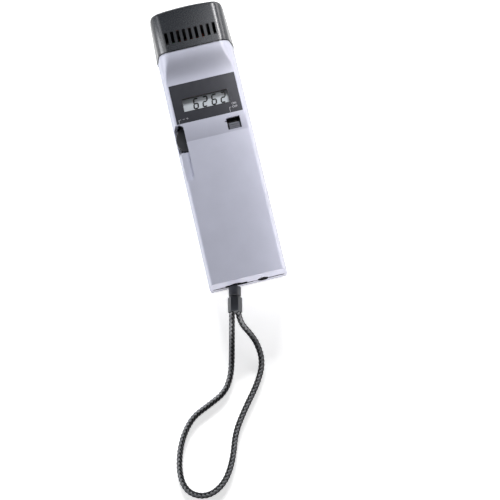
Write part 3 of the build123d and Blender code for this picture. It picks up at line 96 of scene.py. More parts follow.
def tint(red: int, green: int, blue: int) -> Colour:
    """Turns a screen colour into the linear one that a shader takes.

    Args:
        red: Red from 0 to 255.
        green: Green from 0 to 255.
        blue: Blue from 0 to 255.

    Returns:
        The colour in linear light, each part from 0 to 1.
    """

    def linear(value: int) -> float:
        """Gives one part of the colour in linear light."""
        share = value / 255
        return share / 12.92 if share <= 0.04045 else ((share + 0.055) / 1.055) ** 2.4

    return (linear(red), linear(green), linear(blue))


def shaded(colour: Colour, share: float) -> Colour:
    """Gives a colour made darker or lighter by a factor, up to full light."""
    return tuple(min(1.0, part * share) for part in colour)


def metres(point: Sequence[float]) -> Vector:
    """Turns a point in millimetres into one in metres."""
    return Vector(point) * MM


def added(name: str, data: bpy.types.ID) -> bpy.types.Object:
    """Puts an object into the scene.

    Args:
        name: Name of the object.
        data: Its mesh, curve, lamp or camera.

    Returns:
        The new object.
    """
    made = bpy.data.objects.new(name, data)
    bpy.context.scene.collection.objects.link(made)
    return made


# Node sheets


class NodeSheet:
    """A node tree that is written a node at a time."""

    def __init__(self, tree: bpy.types.NodeTree) -> None:
        """Takes the tree of a material or a world and empties it."""
        self.tree = tree
        self.tree.nodes.clear()

    def node(self, kind: str, **values: object) -> bpy.types.Node:
        """Adds a node and sets its properties and inputs.

        Args:
            kind: Blender's name of the node type.
            values: Properties of the node, or its input sockets by name with _ for spaces.

        Returns:
            The new node.
        """
        made = self.tree.nodes.new(kind)
        for name, value in values.items():
            if hasattr(made, name):
                setattr(made, name, value)
            else:
                made.inputs[name.replace("_", " ")].default_value = value
        return made

    def link(self, source: Socket, target: Socket) -> None:
        """Joins an output socket to an input socket."""
        self.tree.links.new(source, target)

    def ramp(self, pattern: Socket, *stops: tuple[float, Colour]) -> Socket:
        """Turns a pattern into a colour.

        Args:
            pattern: Socket with the pattern.
            stops: Two pairs of a value of the pattern and the colour there.

        Returns:
            The socket with the colour.
        """
        ramp = self.node("ShaderNodeValToRGB")
        for element, (value, colour) in zip(ramp.color_ramp.elements, stops):
            element.position = value
            element.color = (*colour, 1)
        self.link(pattern, ramp.inputs["Fac"])
        return ramp.outputs["Color"]

    def seen_directly(self) -> Socket:
        """Parts what the camera, a reflection or a clear part sees from other light.

        Returns:
            The socket with 1 for what is seen so, and 0 for other light.
        """
        path = self.node("ShaderNodeLightPath")
        seen = path.outputs["Is Camera Ray"]
        for ray in ("Is Glossy Ray", "Is Transmission Ray"):
            either = self.node("ShaderNodeMath", operation="MAXIMUM")
            self.link(seen, either.inputs[0])
            self.link(path.outputs[ray], either.inputs[1])
            seen = either.outputs[0]
        return seen


class ShaderSheet(NodeSheet):
    """A material with one surface shader."""

    def __init__(self, name: str) -> None:
        """Starts a material with a bare surface shader.

        Args:
            name: Name of the material.
        """
        self.material = bpy.data.materials.new(name)
        self.material.use_nodes = True
        super().__init__(self.material.node_tree)
        output = self.node("ShaderNodeOutputMaterial")
        self.shader = self.node("ShaderNodeBsdfPrincipled")
        self.link(self.shader.outputs["BSDF"], output.inputs["Surface"])

    def surface(self, **values: object) -> None:
        """Sets sockets of the surface shader, named with _ for spaces."""
        for name, value in values.items():
            self.shader.inputs[name.replace("_", " ")].default_value = value

    def feed(self, name: str, source: Socket) -> None:
        """Joins an output socket to the surface shader's socket of that name."""
        self.link(source, self.shader.inputs[name])

    def place(self, scale: Sequence[float] = (1, 1, 1)) -> Socket:
        """Gives the piece's own coordinates in metres.

        Args:
            scale: Scale along each axis.

        Returns:
            The socket with the coordinates.
        """
        coordinates = self.node("ShaderNodeTexCoord")
        mapping = self.node("ShaderNodeMapping", Scale=scale)
        self.link(coordinates.outputs["Object"], mapping.inputs["Vector"])
        return mapping.outputs["Vector"]

    def speckle(self, size_mm: float, layers: float, place: Socket | None = None) -> Socket:
        """Gives a cloudy pattern with patches of about that size.

        Args:
            size_mm: Size of the patches in millimetres.
            layers: Number of finer layers.
            place: Coordinates to use in place of the piece's own.

        Returns:
            The socket with the pattern, from 0 to 1.
        """
        noise = self.node("ShaderNodeTexNoise", Scale=1 / (size_mm * MM), Detail=layers)
        self.link(place or self.place(), noise.inputs["Vector"])
        return noise.outputs["Fac"]

    def spread(self, pattern: Socket, low: float, high: float) -> Socket:
        """Maps a pattern from 0 to 1 onto another range.

        Args:
            pattern: Socket with the pattern.
            low: Value where the pattern is 0.
            high: Value where the pattern is 1.

        Returns:
            The socket with the mapped value.
        """
        mapped = self.node("ShaderNodeMapRange", To_Min=low, To_Max=high)
        self.link(pattern, mapped.inputs["Value"])
        return mapped.outputs["Result"]

    def paint(self, pattern: Socket, *stops: tuple[float, Colour]) -> None:
        """Colours the surface by a pattern, from two pairs of value and colour."""
        self.feed("Base Color", self.ramp(pattern, *stops))

    def polish(self, pattern: Socket, low: float, high: float) -> None:
        """Varies the roughness with a pattern, from low where it is 0 to high where it is 1."""
        self.feed("Roughness", self.spread(pattern, low, high))

    def bump(self, pattern: Socket, depth_mm: float) -> None:
        """Raises the surface by a pattern.

        Args:
            pattern: Socket with the pattern.
            depth_mm: Height of the pattern in millimetres.
        """
        bump = self.node("ShaderNodeBump", Strength=1.0, Distance=depth_mm * MM)
        self.link(pattern, bump.inputs["Height"])
        self.feed("Normal", bump.outputs["Normal"])


# Finishes


@dataclass(frozen=True)
class Finish:
    """What every finish has: the name of its material and its main colour."""

    name: str
    colour: Colour

    def build(self) -> bpy.types.Material:
        """Makes the material.

        Returns:
            The material.
        """
        sheet = ShaderSheet(self.name)
        self.write(sheet)
        return sheet.material

    def write(self, sheet: ShaderSheet) -> None:
        """Writes the finish on its sheet, which is left to each kind of finish."""
        raise NotImplementedError(self.name)


@dataclass(frozen=True)
class MouldedPlastic(Finish):
    """A moulded part with a fine spark-eroded grain and slight unevenness of gloss."""

    roughness: float = 0.42
    grain_mm: float = 0.55
    grain_depth_mm: float = 0.012
    mottle: float = 0.04
    gloss: float = 0.5
    unevenness: float = 0.06
    cloud_mm: float = 14.0

    def write(self, sheet: ShaderSheet) -> None:
        """Lays a cloudy colour under the grain.

        Args:
            sheet: The material's sheet.
        """
        cloud = sheet.speckle(self.cloud_mm, 4.0)
        low, high = shaded(self.colour, 1 - self.mottle), shaded(self.colour, 1 + self.mottle)
        sheet.paint(cloud, (0.3, low), (0.7, high))
        grain = sheet.speckle(self.grain_mm, 3.0)
        sheet.polish(grain, self.roughness - self.unevenness, self.roughness + self.unevenness)
        sheet.surface(Specular_IOR_Level=self.gloss)
        sheet.bump(grain, self.grain_depth_mm)


@dataclass(frozen=True)
class PrintedPanel(Finish):
    """A thin plastic film panel, printed dark on its back, with a fine satin face."""

    roughness: float = 0.36
    gloss: float = 0.3
    cloud_mm: float = 6.0
    grain_mm: float = 0.18
    grain_depth_mm: float = 0.004

    def write(self, sheet: ShaderSheet) -> None:
        """Lays a slightly cloudy colour under a satin face.

        Args:
            sheet: The material's sheet.
        """
        cloud = sheet.speckle(self.cloud_mm, 5.0)
        sheet.paint(cloud, (0.35, shaded(self.colour, 0.93)), (0.65, shaded(self.colour, 1.07)))
        sheet.surface(Roughness=self.roughness, Specular_IOR_Level=self.gloss)
        sheet.bump(sheet.speckle(self.grain_mm, 1.0), self.grain_depth_mm)


@dataclass(frozen=True)
class PrintedInk(Finish):
    """Flat printing ink or the dark segments of a display."""

    roughness: float = 0.55
    cloud_mm: float = 0.4

    def write(self, sheet: ShaderSheet) -> None:
        """Lays an ink that covers a little unevenly.

        Args:
            sheet: The material's sheet.
        """
        cloud = sheet.speckle(self.cloud_mm, 2.0)
        sheet.paint(cloud, (0.3, shaded(self.colour, 0.94)), (0.6, self.colour))
        sheet.surface(Roughness=self.roughness, Specular_IOR_Level=0.3)


@dataclass(frozen=True)
class LiquidCrystal(Finish):
    """The grey face of a reflective liquid crystal display behind its polished glass."""

    sparkle_mm: float = 0.12

    def write(self, sheet: ShaderSheet) -> None:
        """Lays a sparkling foil under a polished coat.

        Args:
            sheet: The material's sheet.
        """
        foil = sheet.speckle(self.sparkle_mm, 1.0)
        sheet.paint(foil, (0.35, shaded(self.colour, 0.9)), (0.65, shaded(self.colour, 1.08)))
        sheet.surface(Roughness=0.5, Specular_IOR_Level=0.5, Coat_Weight=0.6, Coat_Roughness=0.04)


@dataclass(frozen=True)
class Metal(Finish):
    """A metal part with fine turning or brushing lines across one axis."""

    roughness: float = 0.28
    line_mm: float = 0.25
    stretch: Point = (1.0, 1.0, 12.0)
    line_depth_mm: float = 0.003
    unevenness: tuple[float, float] = (0.08, 0.1)

    def write(self, sheet: ShaderSheet) -> None:
        """Draws the lines, which are long patches squeezed along one axis.

        Args:
            sheet: The material's sheet.
        """
        place = sheet.place(self.stretch)
        lines = sheet.speckle(self.line_mm * max(self.stretch), 3.0, place)
        sheet.paint(lines, (0.3, shaded(self.colour, 0.86)), (0.65, self.colour))
        below, above = self.unevenness
        sheet.polish(lines, self.roughness - below, self.roughness + above)
        sheet.surface(Metallic=1.0)
        sheet.bump(lines, self.line_depth_mm)


@dataclass(frozen=True)
class SilveredDish(Finish):
    """Moulded reflector, silvered on the side that faces the lens and bare black plastic behind."""

    plastic: Colour
    roughness: float = 0.09
    plastic_roughness: float = 0.5
    edge: tuple[float, float] = (-0.06, 0.02)
    ripple_mm: float = 5.0
    ripple_depth_mm: float = 0.01

    def write(self, sheet: ShaderSheet) -> None:
        """Parts the silver from the plastic by the way that the piece's own surface faces.

        Args:
            sheet: The material's sheet.
        """
        facing = sheet.node("ShaderNodeTexCoord")
        split = sheet.node("ShaderNodeSeparateXYZ")
        sheet.link(facing.outputs["Normal"], split.inputs[0])
        front = sheet.node("ShaderNodeMapRange", From_Min=self.edge[0], From_Max=self.edge[1])
        sheet.link(split.outputs["Y"], front.inputs["Value"])
        side = front.outputs["Result"]
        sheet.paint(side, (0.0, self.plastic), (1.0, self.colour))
        sheet.polish(side, self.plastic_roughness, self.roughness)
        sheet.feed("Metallic", side)
        sheet.bump(sheet.speckle(self.ripple_mm, 2.0), self.ripple_depth_mm)


@dataclass(frozen=True)
class ClearGlass(Finish):
    """Clear glass or acrylic, with a faint ripple."""

    colour: Colour = (0.96, 0.98, 0.99)
    ior: float = 1.49
    roughness: float = 0.02
    ripple_mm: float = 7.0
    ripple_depth_mm: float = 0.01

    def write(self, sheet: ShaderSheet) -> None:
        """Makes the surface clear and ripples it.

        Args:
            sheet: The material's sheet.
        """
        sheet.surface(Base_Color=(*self.colour, 1), Roughness=self.roughness)
        sheet.surface(IOR=self.ior, Transmission_Weight=1.0)
        sheet.bump(sheet.speckle(self.ripple_mm, 1.0), self.ripple_depth_mm)


@dataclass(frozen=True)
class Winding(Finish):
    """Turns of varnished wire or tape, laid side by side along one axis."""

    pitch_mm: float = 0.35
    along: Point = (1.0, 0.0, 0.0)
    metallic: float = 0.7
    roughness: float = 0.34
    depth_mm: float = 0.08

    def write(self, sheet: ShaderSheet) -> None:
        """Lays one band for each turn, darkened at its edge as painted shade in the groove between
        turns.

        Args:
            sheet: The material's sheet.
        """
        wave = sheet.node("ShaderNodeTexWave", Scale=1.0, Distortion=0.4, Detail=1.0)
        place = sheet.place(tuple(part * BAND / (self.pitch_mm * MM) for part in self.along))
        sheet.link(place, wave.inputs["Vector"])
        turns = wave.outputs["Fac"]
        # the dark stop of the ramp is painted shade in the grooves between turns
        sheet.paint(turns, (0.1, shaded(self.colour, 0.45)), (0.6, self.colour))
        sheet.surface(Metallic=self.metallic, Roughness=self.roughness)
        sheet.surface(Coat_Weight=0.3, Coat_Roughness=0.2)
        sheet.bump(turns, self.depth_mm)


@dataclass(frozen=True)
class CircuitBoard(Finish):
    """Green board with tracks that show through its lacquer."""

    track: Colour
    track_mm: float = 1.3
    track_length: float = 6.0
    track_depth_mm: float = 0.03

    def write(self, sheet: ShaderSheet) -> None:
        """Draws the tracks as the joints of a brick pattern.

        Args:
            sheet: The material's sheet.
        """
        tracks = sheet.node(
            "ShaderNodeTexBrick",
            Scale=1.0,
            Mortar_Size=0.22,
            Mortar_Smooth=0.05,
            Bias=0.0,
            Brick_Width=self.track_length,
            Row_Height=1.0,
        )
        sheet.link(sheet.place((1 / (self.track_mm * MM),) * 3), tracks.inputs["Vector"])
        sheet.paint(tracks.outputs["Fac"], (0.4, self.colour), (0.6, self.track))
        sheet.surface(Roughness=0.3, Coat_Weight=0.4, Coat_Roughness=0.15)
        sheet.bump(tracks.outputs["Fac"], self.track_depth_mm)


@dataclass(frozen=True)
class Sleeve(Finish):
    """Shrink sleeve with one contrasting band across Y."""

    band: Colour
    period_mm: float = 40.0
    wrinkle_mm: float = 2.5
    wrinkle_depth_mm: float = 0.03

    def write(self, sheet: ShaderSheet) -> None:
        """Draws the band and wrinkles the sleeve a little.

        Args:
            sheet: The material's sheet.
        """
        wave = sheet.node(
            "ShaderNodeTexWave", Scale=1.0, Distortion=0.0, Detail=0.0, bands_direction="Y"
        )
        sheet.link(sheet.place((BAND / (self.period_mm * MM),) * 3), wave.inputs["Vector"])
        sheet.paint(wave.outputs["Fac"], (0.12, self.band), (0.16, self.colour))
        sheet.surface(Roughness=0.28, Specular_IOR_Level=0.5, Coat_Weight=0.35, Coat_Roughness=0.1)
        sheet.bump(sheet.speckle(self.wrinkle_mm, 2.0), self.wrinkle_depth_mm)


@dataclass(frozen=True)
class BraidYarn(Finish):
    """Braided yarn: fibres run along each strand, and its lighter flecks are partly paler fibres
    and partly painted highlights of stray fibres.
    """

    fleck_highlight: Colour
    fibre_mm: float = 0.16
    highlight_share: float = 0.5
    fibre_stretch: float = 0.35
    highlight_edge: float = 0.16
    fibre_depth_mm: float = 0.06

    def write(self, sheet: ShaderSheet) -> None:
        """Draws the fibres on the strand's own UV map, which is in millimetres.

        Args:
            sheet: The material's sheet.
        """
        strand = sheet.node("ShaderNodeUVMap", uv_map="strand")
        scale = (1 / self.fibre_mm, self.fibre_stretch, 1.0)
        mapping = sheet.node("ShaderNodeMapping", Scale=scale)
        sheet.link(strand.outputs["UV"], mapping.inputs["Vector"])
        noise = sheet.node("ShaderNodeTexNoise", Scale=1.0, Detail=2.0, noise_dimensions="2D")
        sheet.link(mapping.outputs["Vector"], noise.inputs["Vector"])
        fibres = noise.outputs["Fac"]
        # lighter flecks: partly paler fibres, partly painted highlights of stray fibres
        bright = self.highlight_share + self.highlight_edge
        sheet.paint(fibres, (self.highlight_share, self.colour), (bright, self.fleck_highlight))
        sheet.surface(Roughness=0.72, Specular_IOR_Level=0.35, Sheen_Weight=0.35)
        sheet.surface(Sheen_Roughness=0.4)
        sheet.bump(fibres, self.fibre_depth_mm)


class Finishes:
    """The finishes: one for each of the record's material slots, and a few more."""

    def __init__(self) -> None:
        """Makes every material once."""
        moulded = {
            "case": MouldedPlastic("case_silver_grey", tint(180, 182, 197), 0.4, 0.6, 0.014, 0.03),
            "hood": MouldedPlastic(
                "hood_satin_black", tint(32, 35, 40), 0.27, 0.7, 0.006, 0.1, 0.6
            ),
            "inner_plastic": MouldedPlastic("inner_black", tint(46, 46, 49), 0.55),
            "chips": MouldedPlastic("chip_black", tint(34, 34, 36), 0.5),
            # black: the switch's dust shutter, partly painted shade in the switch opening, and
            # painted shade on the end linings
            "shutter": MouldedPlastic("shutter_and_shade_black", tint(24, 24, 26), 0.5),
            "knob": MouldedPlastic("knob_grey", tint(90, 92, 101), 0.4),
            "wheel": MouldedPlastic("wheel_black", tint(40, 41, 45), 0.42, 0.5, 0.01),
            "socket": MouldedPlastic("socket_black", tint(22, 22, 24), 0.5),
            "strap_fitting": MouldedPlastic(
                "strap_black", tint(52, 55, 60), 0.36, 0.4, 0.008, 0.08, 0.6
            ),
            # black for the dark pieces that stand in for shade in gaps and on the display window's
            # walls
            "seal": MouldedPlastic("seal_and_shade_black", tint(26, 27, 30), 0.6),
        }
        lamp = {
            "window": ClearGlass("lamp_window"),
            "dish": SilveredDish("silvered_dish", (0.92, 0.93, 0.94), tint(30, 30, 32)),
            "tube_glass": ClearGlass("lamp_glass", (0.98, 0.99, 1.0), 1.47, 0.01, 2.0),
            "tube_metal": Metal("plated_caps", (0.62, 0.62, 0.62), 0.3),
        }
        electrics = {
            "board": CircuitBoard("board_green", tint(22, 92, 50), tint(46, 128, 70)),
            "copper_winding": Winding("coil_wire", tint(196, 96, 66)),
            "ferrite": Winding(
                "transformer_tape", tint(180, 150, 60), 1.2, (0.0, 1.0, 0.0), 0.0, 0.45
            ),
            "capacitor": Sleeve("capacitor_sleeve", tint(28, 34, 70), tint(176, 178, 184)),
            "cell": Sleeve("cell_sleeve", tint(38, 104, 78), tint(206, 204, 190), 52.0),
            "plated_steel": Metal("plated_steel", tint(196, 196, 192), 0.3),
            "brass": Metal("turned_brass", tint(222, 186, 104), 0.26),
        }
        face = {
            "label": PrintedPanel("label_dark_grey", tint(46, 47, 53)),
            "display": LiquidCrystal("display_face", tint(188, 194, 200)),
            "ink_white": PrintedInk("print_white", tint(172, 172, 178)),
            "segment": PrintedInk("display_segment", tint(30, 33, 35), 0.4),
        }
        yarn = {
            "cord": BraidYarn("black_yarn", tint(20, 21, 23), tint(44, 45, 48)),
            "grey_yarn": BraidYarn("grey_yarn", tint(92, 93, 96), tint(164, 165, 168), 0.14, 0.42),
        }
        wanted = {**moulded, **lamp, **electrics, **face, **yarn}
        self.made = {name: finish.build() for name, finish in wanted.items()}

    def __getitem__(self, name: str) -> bpy.types.Material:
        """Gives a material by the name of its finish."""
        return self.made[name]


# Bench


class Workpiece:
    """A mesh that starts as a primitive and is shaped in edit mode."""

    def __init__(self, name: str) -> None:
        """Takes the object that was just made.

        Args:
            name: Name of the piece.
        """
        self.object: bpy.types.Object = bpy.context.object
        self.object.name = name
        self.object.data.name = name

    @staticmethod
    def clear() -> None:
        """Deselects everything, so that an operator acts on the new piece alone."""
        if bpy.context.object and bpy.context.object.mode != "OBJECT":
            bpy.ops.object.mode_set(mode="OBJECT")
        bpy.ops.object.select_all(action="DESELECT")

    @classmethod
    def block(cls, name: str, low: Point, high: Point) -> Workpiece:
        """Starts from a box.

        Args:
            name: Name of the piece.
            low: Lowest corner in millimetres.
            high: Highest corner in millimetres.

        Returns:
            The new piece, with its place in its mesh.
        """
        cls.clear()
        first, last = metres(low), metres(high)
        bpy.ops.mesh.primitive_cube_add(size=1, location=(first + last) / 2, scale=last - first)
        return cls(name).settle()

    @classmethod
    def drum(
        cls,
        name: str,
        centre: Point,
        radius: float,
        length: float,
        sides: int,
        axes: Matrix | None = None,
    ) -> Workpiece:
        """Starts from a cylinder, along Z unless axes turn it.

        Args:
            name: Name of the piece.
            centre: Centre in millimetres.
            radius: Radius in millimetres.
            length: Length in millimetres.
            sides: Number of sides.
            axes: Rotation matrix that turns it in place.

        Returns:
            The new piece, with its place in its mesh.
        """
        cls.clear()
        bpy.ops.mesh.primitive_cylinder_add(
            vertices=sides,
            radius=radius * MM,
            depth=length * MM,
            location=metres(centre),
            rotation=(axes or Matrix.Identity(3)).to_euler(),
        )
        return cls(name).settle()

    def activate(self) -> None:
        """Makes this piece the one that operators act on."""
        self.clear()
        self.object.select_set(True)
        bpy.context.view_layer.objects.active = self.object

    def settle(self) -> Workpiece:
        """Puts the object's own place, turn and scale into its mesh.

        Returns:
            The same piece.
        """
        self.activate()
        bpy.ops.object.transform_apply(location=True, rotation=True, scale=True)
        return self

    @contextmanager
    def editing(self) -> Iterator[None]:
        """Opens the piece in edit mode with nothing selected, and closes it at the end."""
        self.activate()
        bpy.ops.object.mode_set(mode="EDIT")
        bpy.ops.mesh.select_mode(type="FACE")
        bpy.ops.mesh.select_all(action="DESELECT")
        yield
        bpy.ops.object.mode_set(mode="OBJECT")

    def pick(self, test: FaceTest) -> None:
        """Selects the faces of the settled piece under edit that pass a test.

        Args:
            test: Called with a face's centre and normal.
        """
        bpy.ops.mesh.select_mode(type="FACE")
        for face in bmesh.from_edit_mesh(self.object.data).faces:
            face.select_set(test(face.calc_center_median(), face.normal))
        bmesh.update_edit_mesh(self.object.data)

    def pick_edges(self, test: EdgeTest) -> None:
        """Selects the edges of the settled piece under edit that pass a test.

        Args:
            test: Called with the places of an edge's ends.
        """
        bpy.ops.mesh.select_mode(type="EDGE")
        bpy.ops.mesh.select_all(action="DESELECT")
        for edge in bmesh.from_edit_mesh(self.object.data).edges:
            edge.select_set(test(*(vertex.co for vertex in edge.verts)))
        bmesh.update_edit_mesh(self.object.data)

    def hollow(self, axis: int, wall_mm: float) -> Workpiece:
        """Opens the piece from end to end and leaves a wall round the opening.

        Args:
            axis: Axis of the opening, 0 for X, 1 for Y and 2 for Z.
            wall_mm: Thickness of the wall in millimetres.

        Returns:
            The same piece.
        """
        with self.editing():
            self.pick(lambda at, normal: abs(normal[axis]) > FACING)
            bpy.ops.mesh.inset(thickness=wall_mm * MM)
            bpy.ops.mesh.bridge_edge_loops()
        return self

    def modify(self, kind: str, **settings: object) -> Workpiece:
        """Adds a modifier and applies it.

        Args:
            kind: Blender's name of the modifier type.
            settings: Properties of the modifier.

        Returns:
            The same piece.
        """
        self.activate()
        modifier = self.object.modifiers.new(kind.title(), kind)
        for name, value in settings.items():
            setattr(modifier, name, value)
        bpy.ops.object.modifier_apply(modifier=modifier.name)
        return self

    def smooth(self, degrees: float) -> Workpiece:
        """Smooths the shading.

        Args:
            degrees: Angle past which an edge stays sharp.

        Returns:
            The same piece.
        """
        self.activate()
        bpy.ops.object.shade_smooth_by_angle(angle=math.radians(degrees))
        return self

    def soften(self, width_mm: float, segments: int = 2) -> Workpiece:
        """Rounds every edge that turns by more than 40 degrees and smooths the shading.

        Args:
            width_mm: Width of the rounding in millimetres.
            segments: Number of faces across it.

        Returns:
            The same piece.
        """
        self.modify(
            "BEVEL",
            width=width_mm * MM,
            segments=segments,
            limit_method="ANGLE",
            angle_limit=math.radians(40),
        )
        return self.smooth(50)

    def copies(self, name: str, places: Sequence[Matrix]) -> list[bpy.types.Object]:
        """Copies the piece, each copy with its own mesh, and removes the first one.

        Args:
            name: Name of the copies, to which a number is added.
            places: Where each copy goes, as a matrix in metres.

        Returns:
            The copies.
        """
        made = []
        for number, place in enumerate(places, 1):
            data = self.object.data.copy()
            data.transform(place)
            made.append(added(f"{name}_{number}", data))
        bpy.data.objects.remove(self.object)
        return made


def fuse(name: str, pieces: Sequence[bpy.types.Object]) -> bpy.types.Object:
    """Joins several objects into one.

    Args:
        name: Name of the joined object.
        pieces: The objects.

    Returns:
        The joined object.
    """
    Workpiece.clear()
    for piece in pieces:
        piece.select_set(True)
    bpy.context.view_layer.objects.active = pieces[0]
    bpy.ops.object.join()
    pieces[0].name = name
    pieces[0].data.name = name
    return pieces[0]


def dress(piece: bpy.types.Object, material: bpy.types.Material) -> None:
    """Puts one material all over a piece."""
    piece.data.materials.clear()
    piece.data.materials.append(material)


def seat(
    piece: bpy.types.Object,
    material: bpy.types.Material,
    body: Body,
    slot: str,
    *stands_for: str,
) -> None:
    """Dresses a finished piece, lets it ride on its body and logs it.

    Args:
        piece: The finished piece.
        material: Its material.
        body: Body that it moves with.
        slot: The record's material slot; not used.
        stands_for: CAD nodes that it takes the place of.
    """
    dress(piece, material)
    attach(piece, body.value)
    if stands_for:
        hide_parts(*stands_for)
    faces = len(piece.data.polygons) if piece.type == "MESH" else 0
    log.info("%s on %s: %d faces", piece.name, body.value, faces)


# Wrist strap


@dataclass
class StrapFrame:
    """The strap's axis, which leans in the plane of the joint line."""

    pivot: Point = (-9.8, -108.8, 19.0)
    lean: float = math.radians(12)

    @property
    def way(self) -> Vector:
        """Direction from the pin towards the cord."""
        return Vector((-math.sin(self.lean), -math.cos(self.lean), 0))

    @property
    def side(self) -> Vector:
        """Direction across the strap, in the plane of the joint line."""
        return Vector((math.cos(self.lean), -math.sin(self.lean), 0))

    @property
    def axes(self) -> Matrix:
        """Rotation that turns Z into the strap's axis and X into its side."""
        return Matrix((self.side, self.way.cross(self.side), self.way)).transposed()

    def at(self, along: float, across: float = 0.0) -> Vector:
        """Gives a point in millimetres, from distances along and across the axis."""
        return Vector(self.pivot) + self.way * along + self.side * across


@dataclass
class WristCord:
    """Braided wrist cord: a plain core on a smooth line, and strands that cross over and under.

    The strands that turn one way are grey and those that turn the other way are black. Each passes
    over two and under two of the other colour.
    """

    frame: StrapFrame
    diameter: float = 4.5
    length: float = 331.0
    core_diameter: float = 3.7
    mouth: float = 28.4
    spread: float = 2.36
    rest: float = 2.4
    braid_diameter: float = 4.8
    carriers: int = 6
    lay: float = 19.0
    strand_width: float = 1.9
    strand_thick: float = 0.8
    weave: float = 0.26
    step: float = 0.45
    section: tuple[tuple[float, float], ...] = (
        (-1.0, 0.0),
        (-0.55, 0.85),
        (0.0, 1.0),
        (0.55, 0.85),
        (1.0, 0.0),
        (0.0, -0.8),
    )
    map_edge: float = 0.5
    map_shift: float = 7.3
    line_steps: int = 10
    core_steps: int = 3

    def route(self) -> list[Point]:
        """Gives the points that the cord's line is drawn from.

        Returns:
            The points in order, in millimetres.
        """
        rest = self.rest
        return [
            tuple(self.frame.at(self.mouth, -self.spread)),
            (-20.4, -146.3, 18.2),
            (-23.4, -157.6, 12.2),
            (-26.5, -169.0, 5.4),
            (-30.2, -181.2, rest),
            (-37.6, -192.6, rest),
            (-51.5, -199.4, rest),
            (-66.5, -206.0, rest),
            (-77.6, -220.5, rest),
            (-84.0, -238.0, rest),
            (-85.2, -252.6, rest),
            (-81.6, -262.6, rest),
            (-72.6, -268.2, rest),
            (-62.0, -267.5, rest),
            (-51.0, -259.6, rest),
            (-42.3, -244.0, rest),
            (-36.6, -225.5, rest),
            (-25.0, -208.5, rest),
            (-11.5, -191.8, rest),
            (-3.4, -176.0, 3.2),
            (-4.3, -162.0, 8.4),
            (-8.2, -153.4, 13.0),
            (-11.7, -148.4, 16.7),
            (-13.35, -142.6, 18.7),
            tuple(self.frame.at(self.mouth, self.spread)),
        ]

    def line(self, name: str, bevel_mm: float) -> bpy.types.Object:
        """Draws the cord's line as one open spline.

        Args:
            name: Name of the curve.
            bevel_mm: Radius of the tube on it in millimetres, 0 for the bare line.

        Returns:
            The curve object.
        """
        curve = bpy.data.curves.new(name, "CURVE")
        curve.dimensions = "3D"
        curve.resolution_u = self.line_steps
        spline = curve.splines.new("NURBS")
        route = self.route()
        spline.points.add(len(route) - 1)
        for control, place in zip(spline.points, route):
            control.co = (*metres(place), 1)
        spline.order_u = 3
        spline.use_endpoint_u = True
        curve.bevel_depth = bevel_mm * MM
        curve.bevel_resolution = self.core_steps
        curve.use_fill_caps = bevel_mm > 0
        return added(name, curve)

    def stations(self) -> list[Vector]:
        """Gives points a step apart on the cord's line.

        Returns:
            The points in order, in metres.
        """
        line = self.line("cord_line", 0.0)
        bpy.context.view_layer.update()
        mesh = bpy.data.meshes.new_from_object(line)
        raw = [vertex.co.copy() for vertex in mesh.vertices]
        bpy.data.objects.remove(line)
        bpy.data.meshes.remove(mesh)
        runs = [(after - before).length for before, after in zip(raw, raw[1:])]
        whole = sum(runs)
        count = round(whole / (self.step * MM))
        points, index, passed = [], 0, 0.0
        for number in range(count + 1):
            target = whole * number / count
            while index < len(runs) - 1 and passed + runs[index] < target:
                passed += runs[index]
                index += 1
            share = min(1.0, (target - passed) / runs[index]) if runs[index] else 0.0
            points.append(raw[index].lerp(raw[index + 1], share))
        return points

    @staticmethod
    def crossways(points: Sequence[Vector]) -> list[tuple[Vector, Vector]]:
        """Gives two directions across the line at each point, carried along without twist.

        Args:
            points: Points on the line.

        Returns:
            A pair of unit vectors for each point.
        """
        pairs = []
        across = (points[1] - points[0]).normalized().orthogonal().normalized()
        for index in range(len(points)):
            before = points[max(index - 1, 0)]
            after = points[min(index + 1, len(points) - 1)]
            along = (after - before).normalized()
            across = (across - along * across.dot(along)).normalized()
            pairs.append((across, along.cross(across)))
        return pairs

    def ring(
        self, point: Vector, pair: tuple[Vector, Vector], travelled: float, number: int, sense: int
    ) -> list[Vector]:
        """Gives the corners of one strand's section at a point of the line, in metres.

        Args:
            point: The point.
            pair: Two directions across the line there.
            travelled: Distance of the point along the line in millimetres.
            number: Number of the strand.
            sense: 1 or -1, the way that the strand turns.

        Returns:
            The corners in order.
        """
        across, over = pair
        turn = sense * math.tau * travelled / self.lay + math.tau * number / self.carriers
        crossing = 2 * number + sense * 2 * self.carriers * travelled / self.lay
        mean = self.braid_diameter / 2 - self.strand_thick / 2 - self.weave
        radius = mean + sense * self.weave * math.cos(math.pi / 2 * (crossing - 0.5))
        out = across * math.cos(turn) + over * math.sin(turn)
        around = over * math.cos(turn) - across * math.sin(turn)
        return [
            point
            + around * (x * self.strand_width / 2 * MM)
            + out * ((radius + y * self.strand_thick / 2) * MM)
            for x, y in self.section
        ]

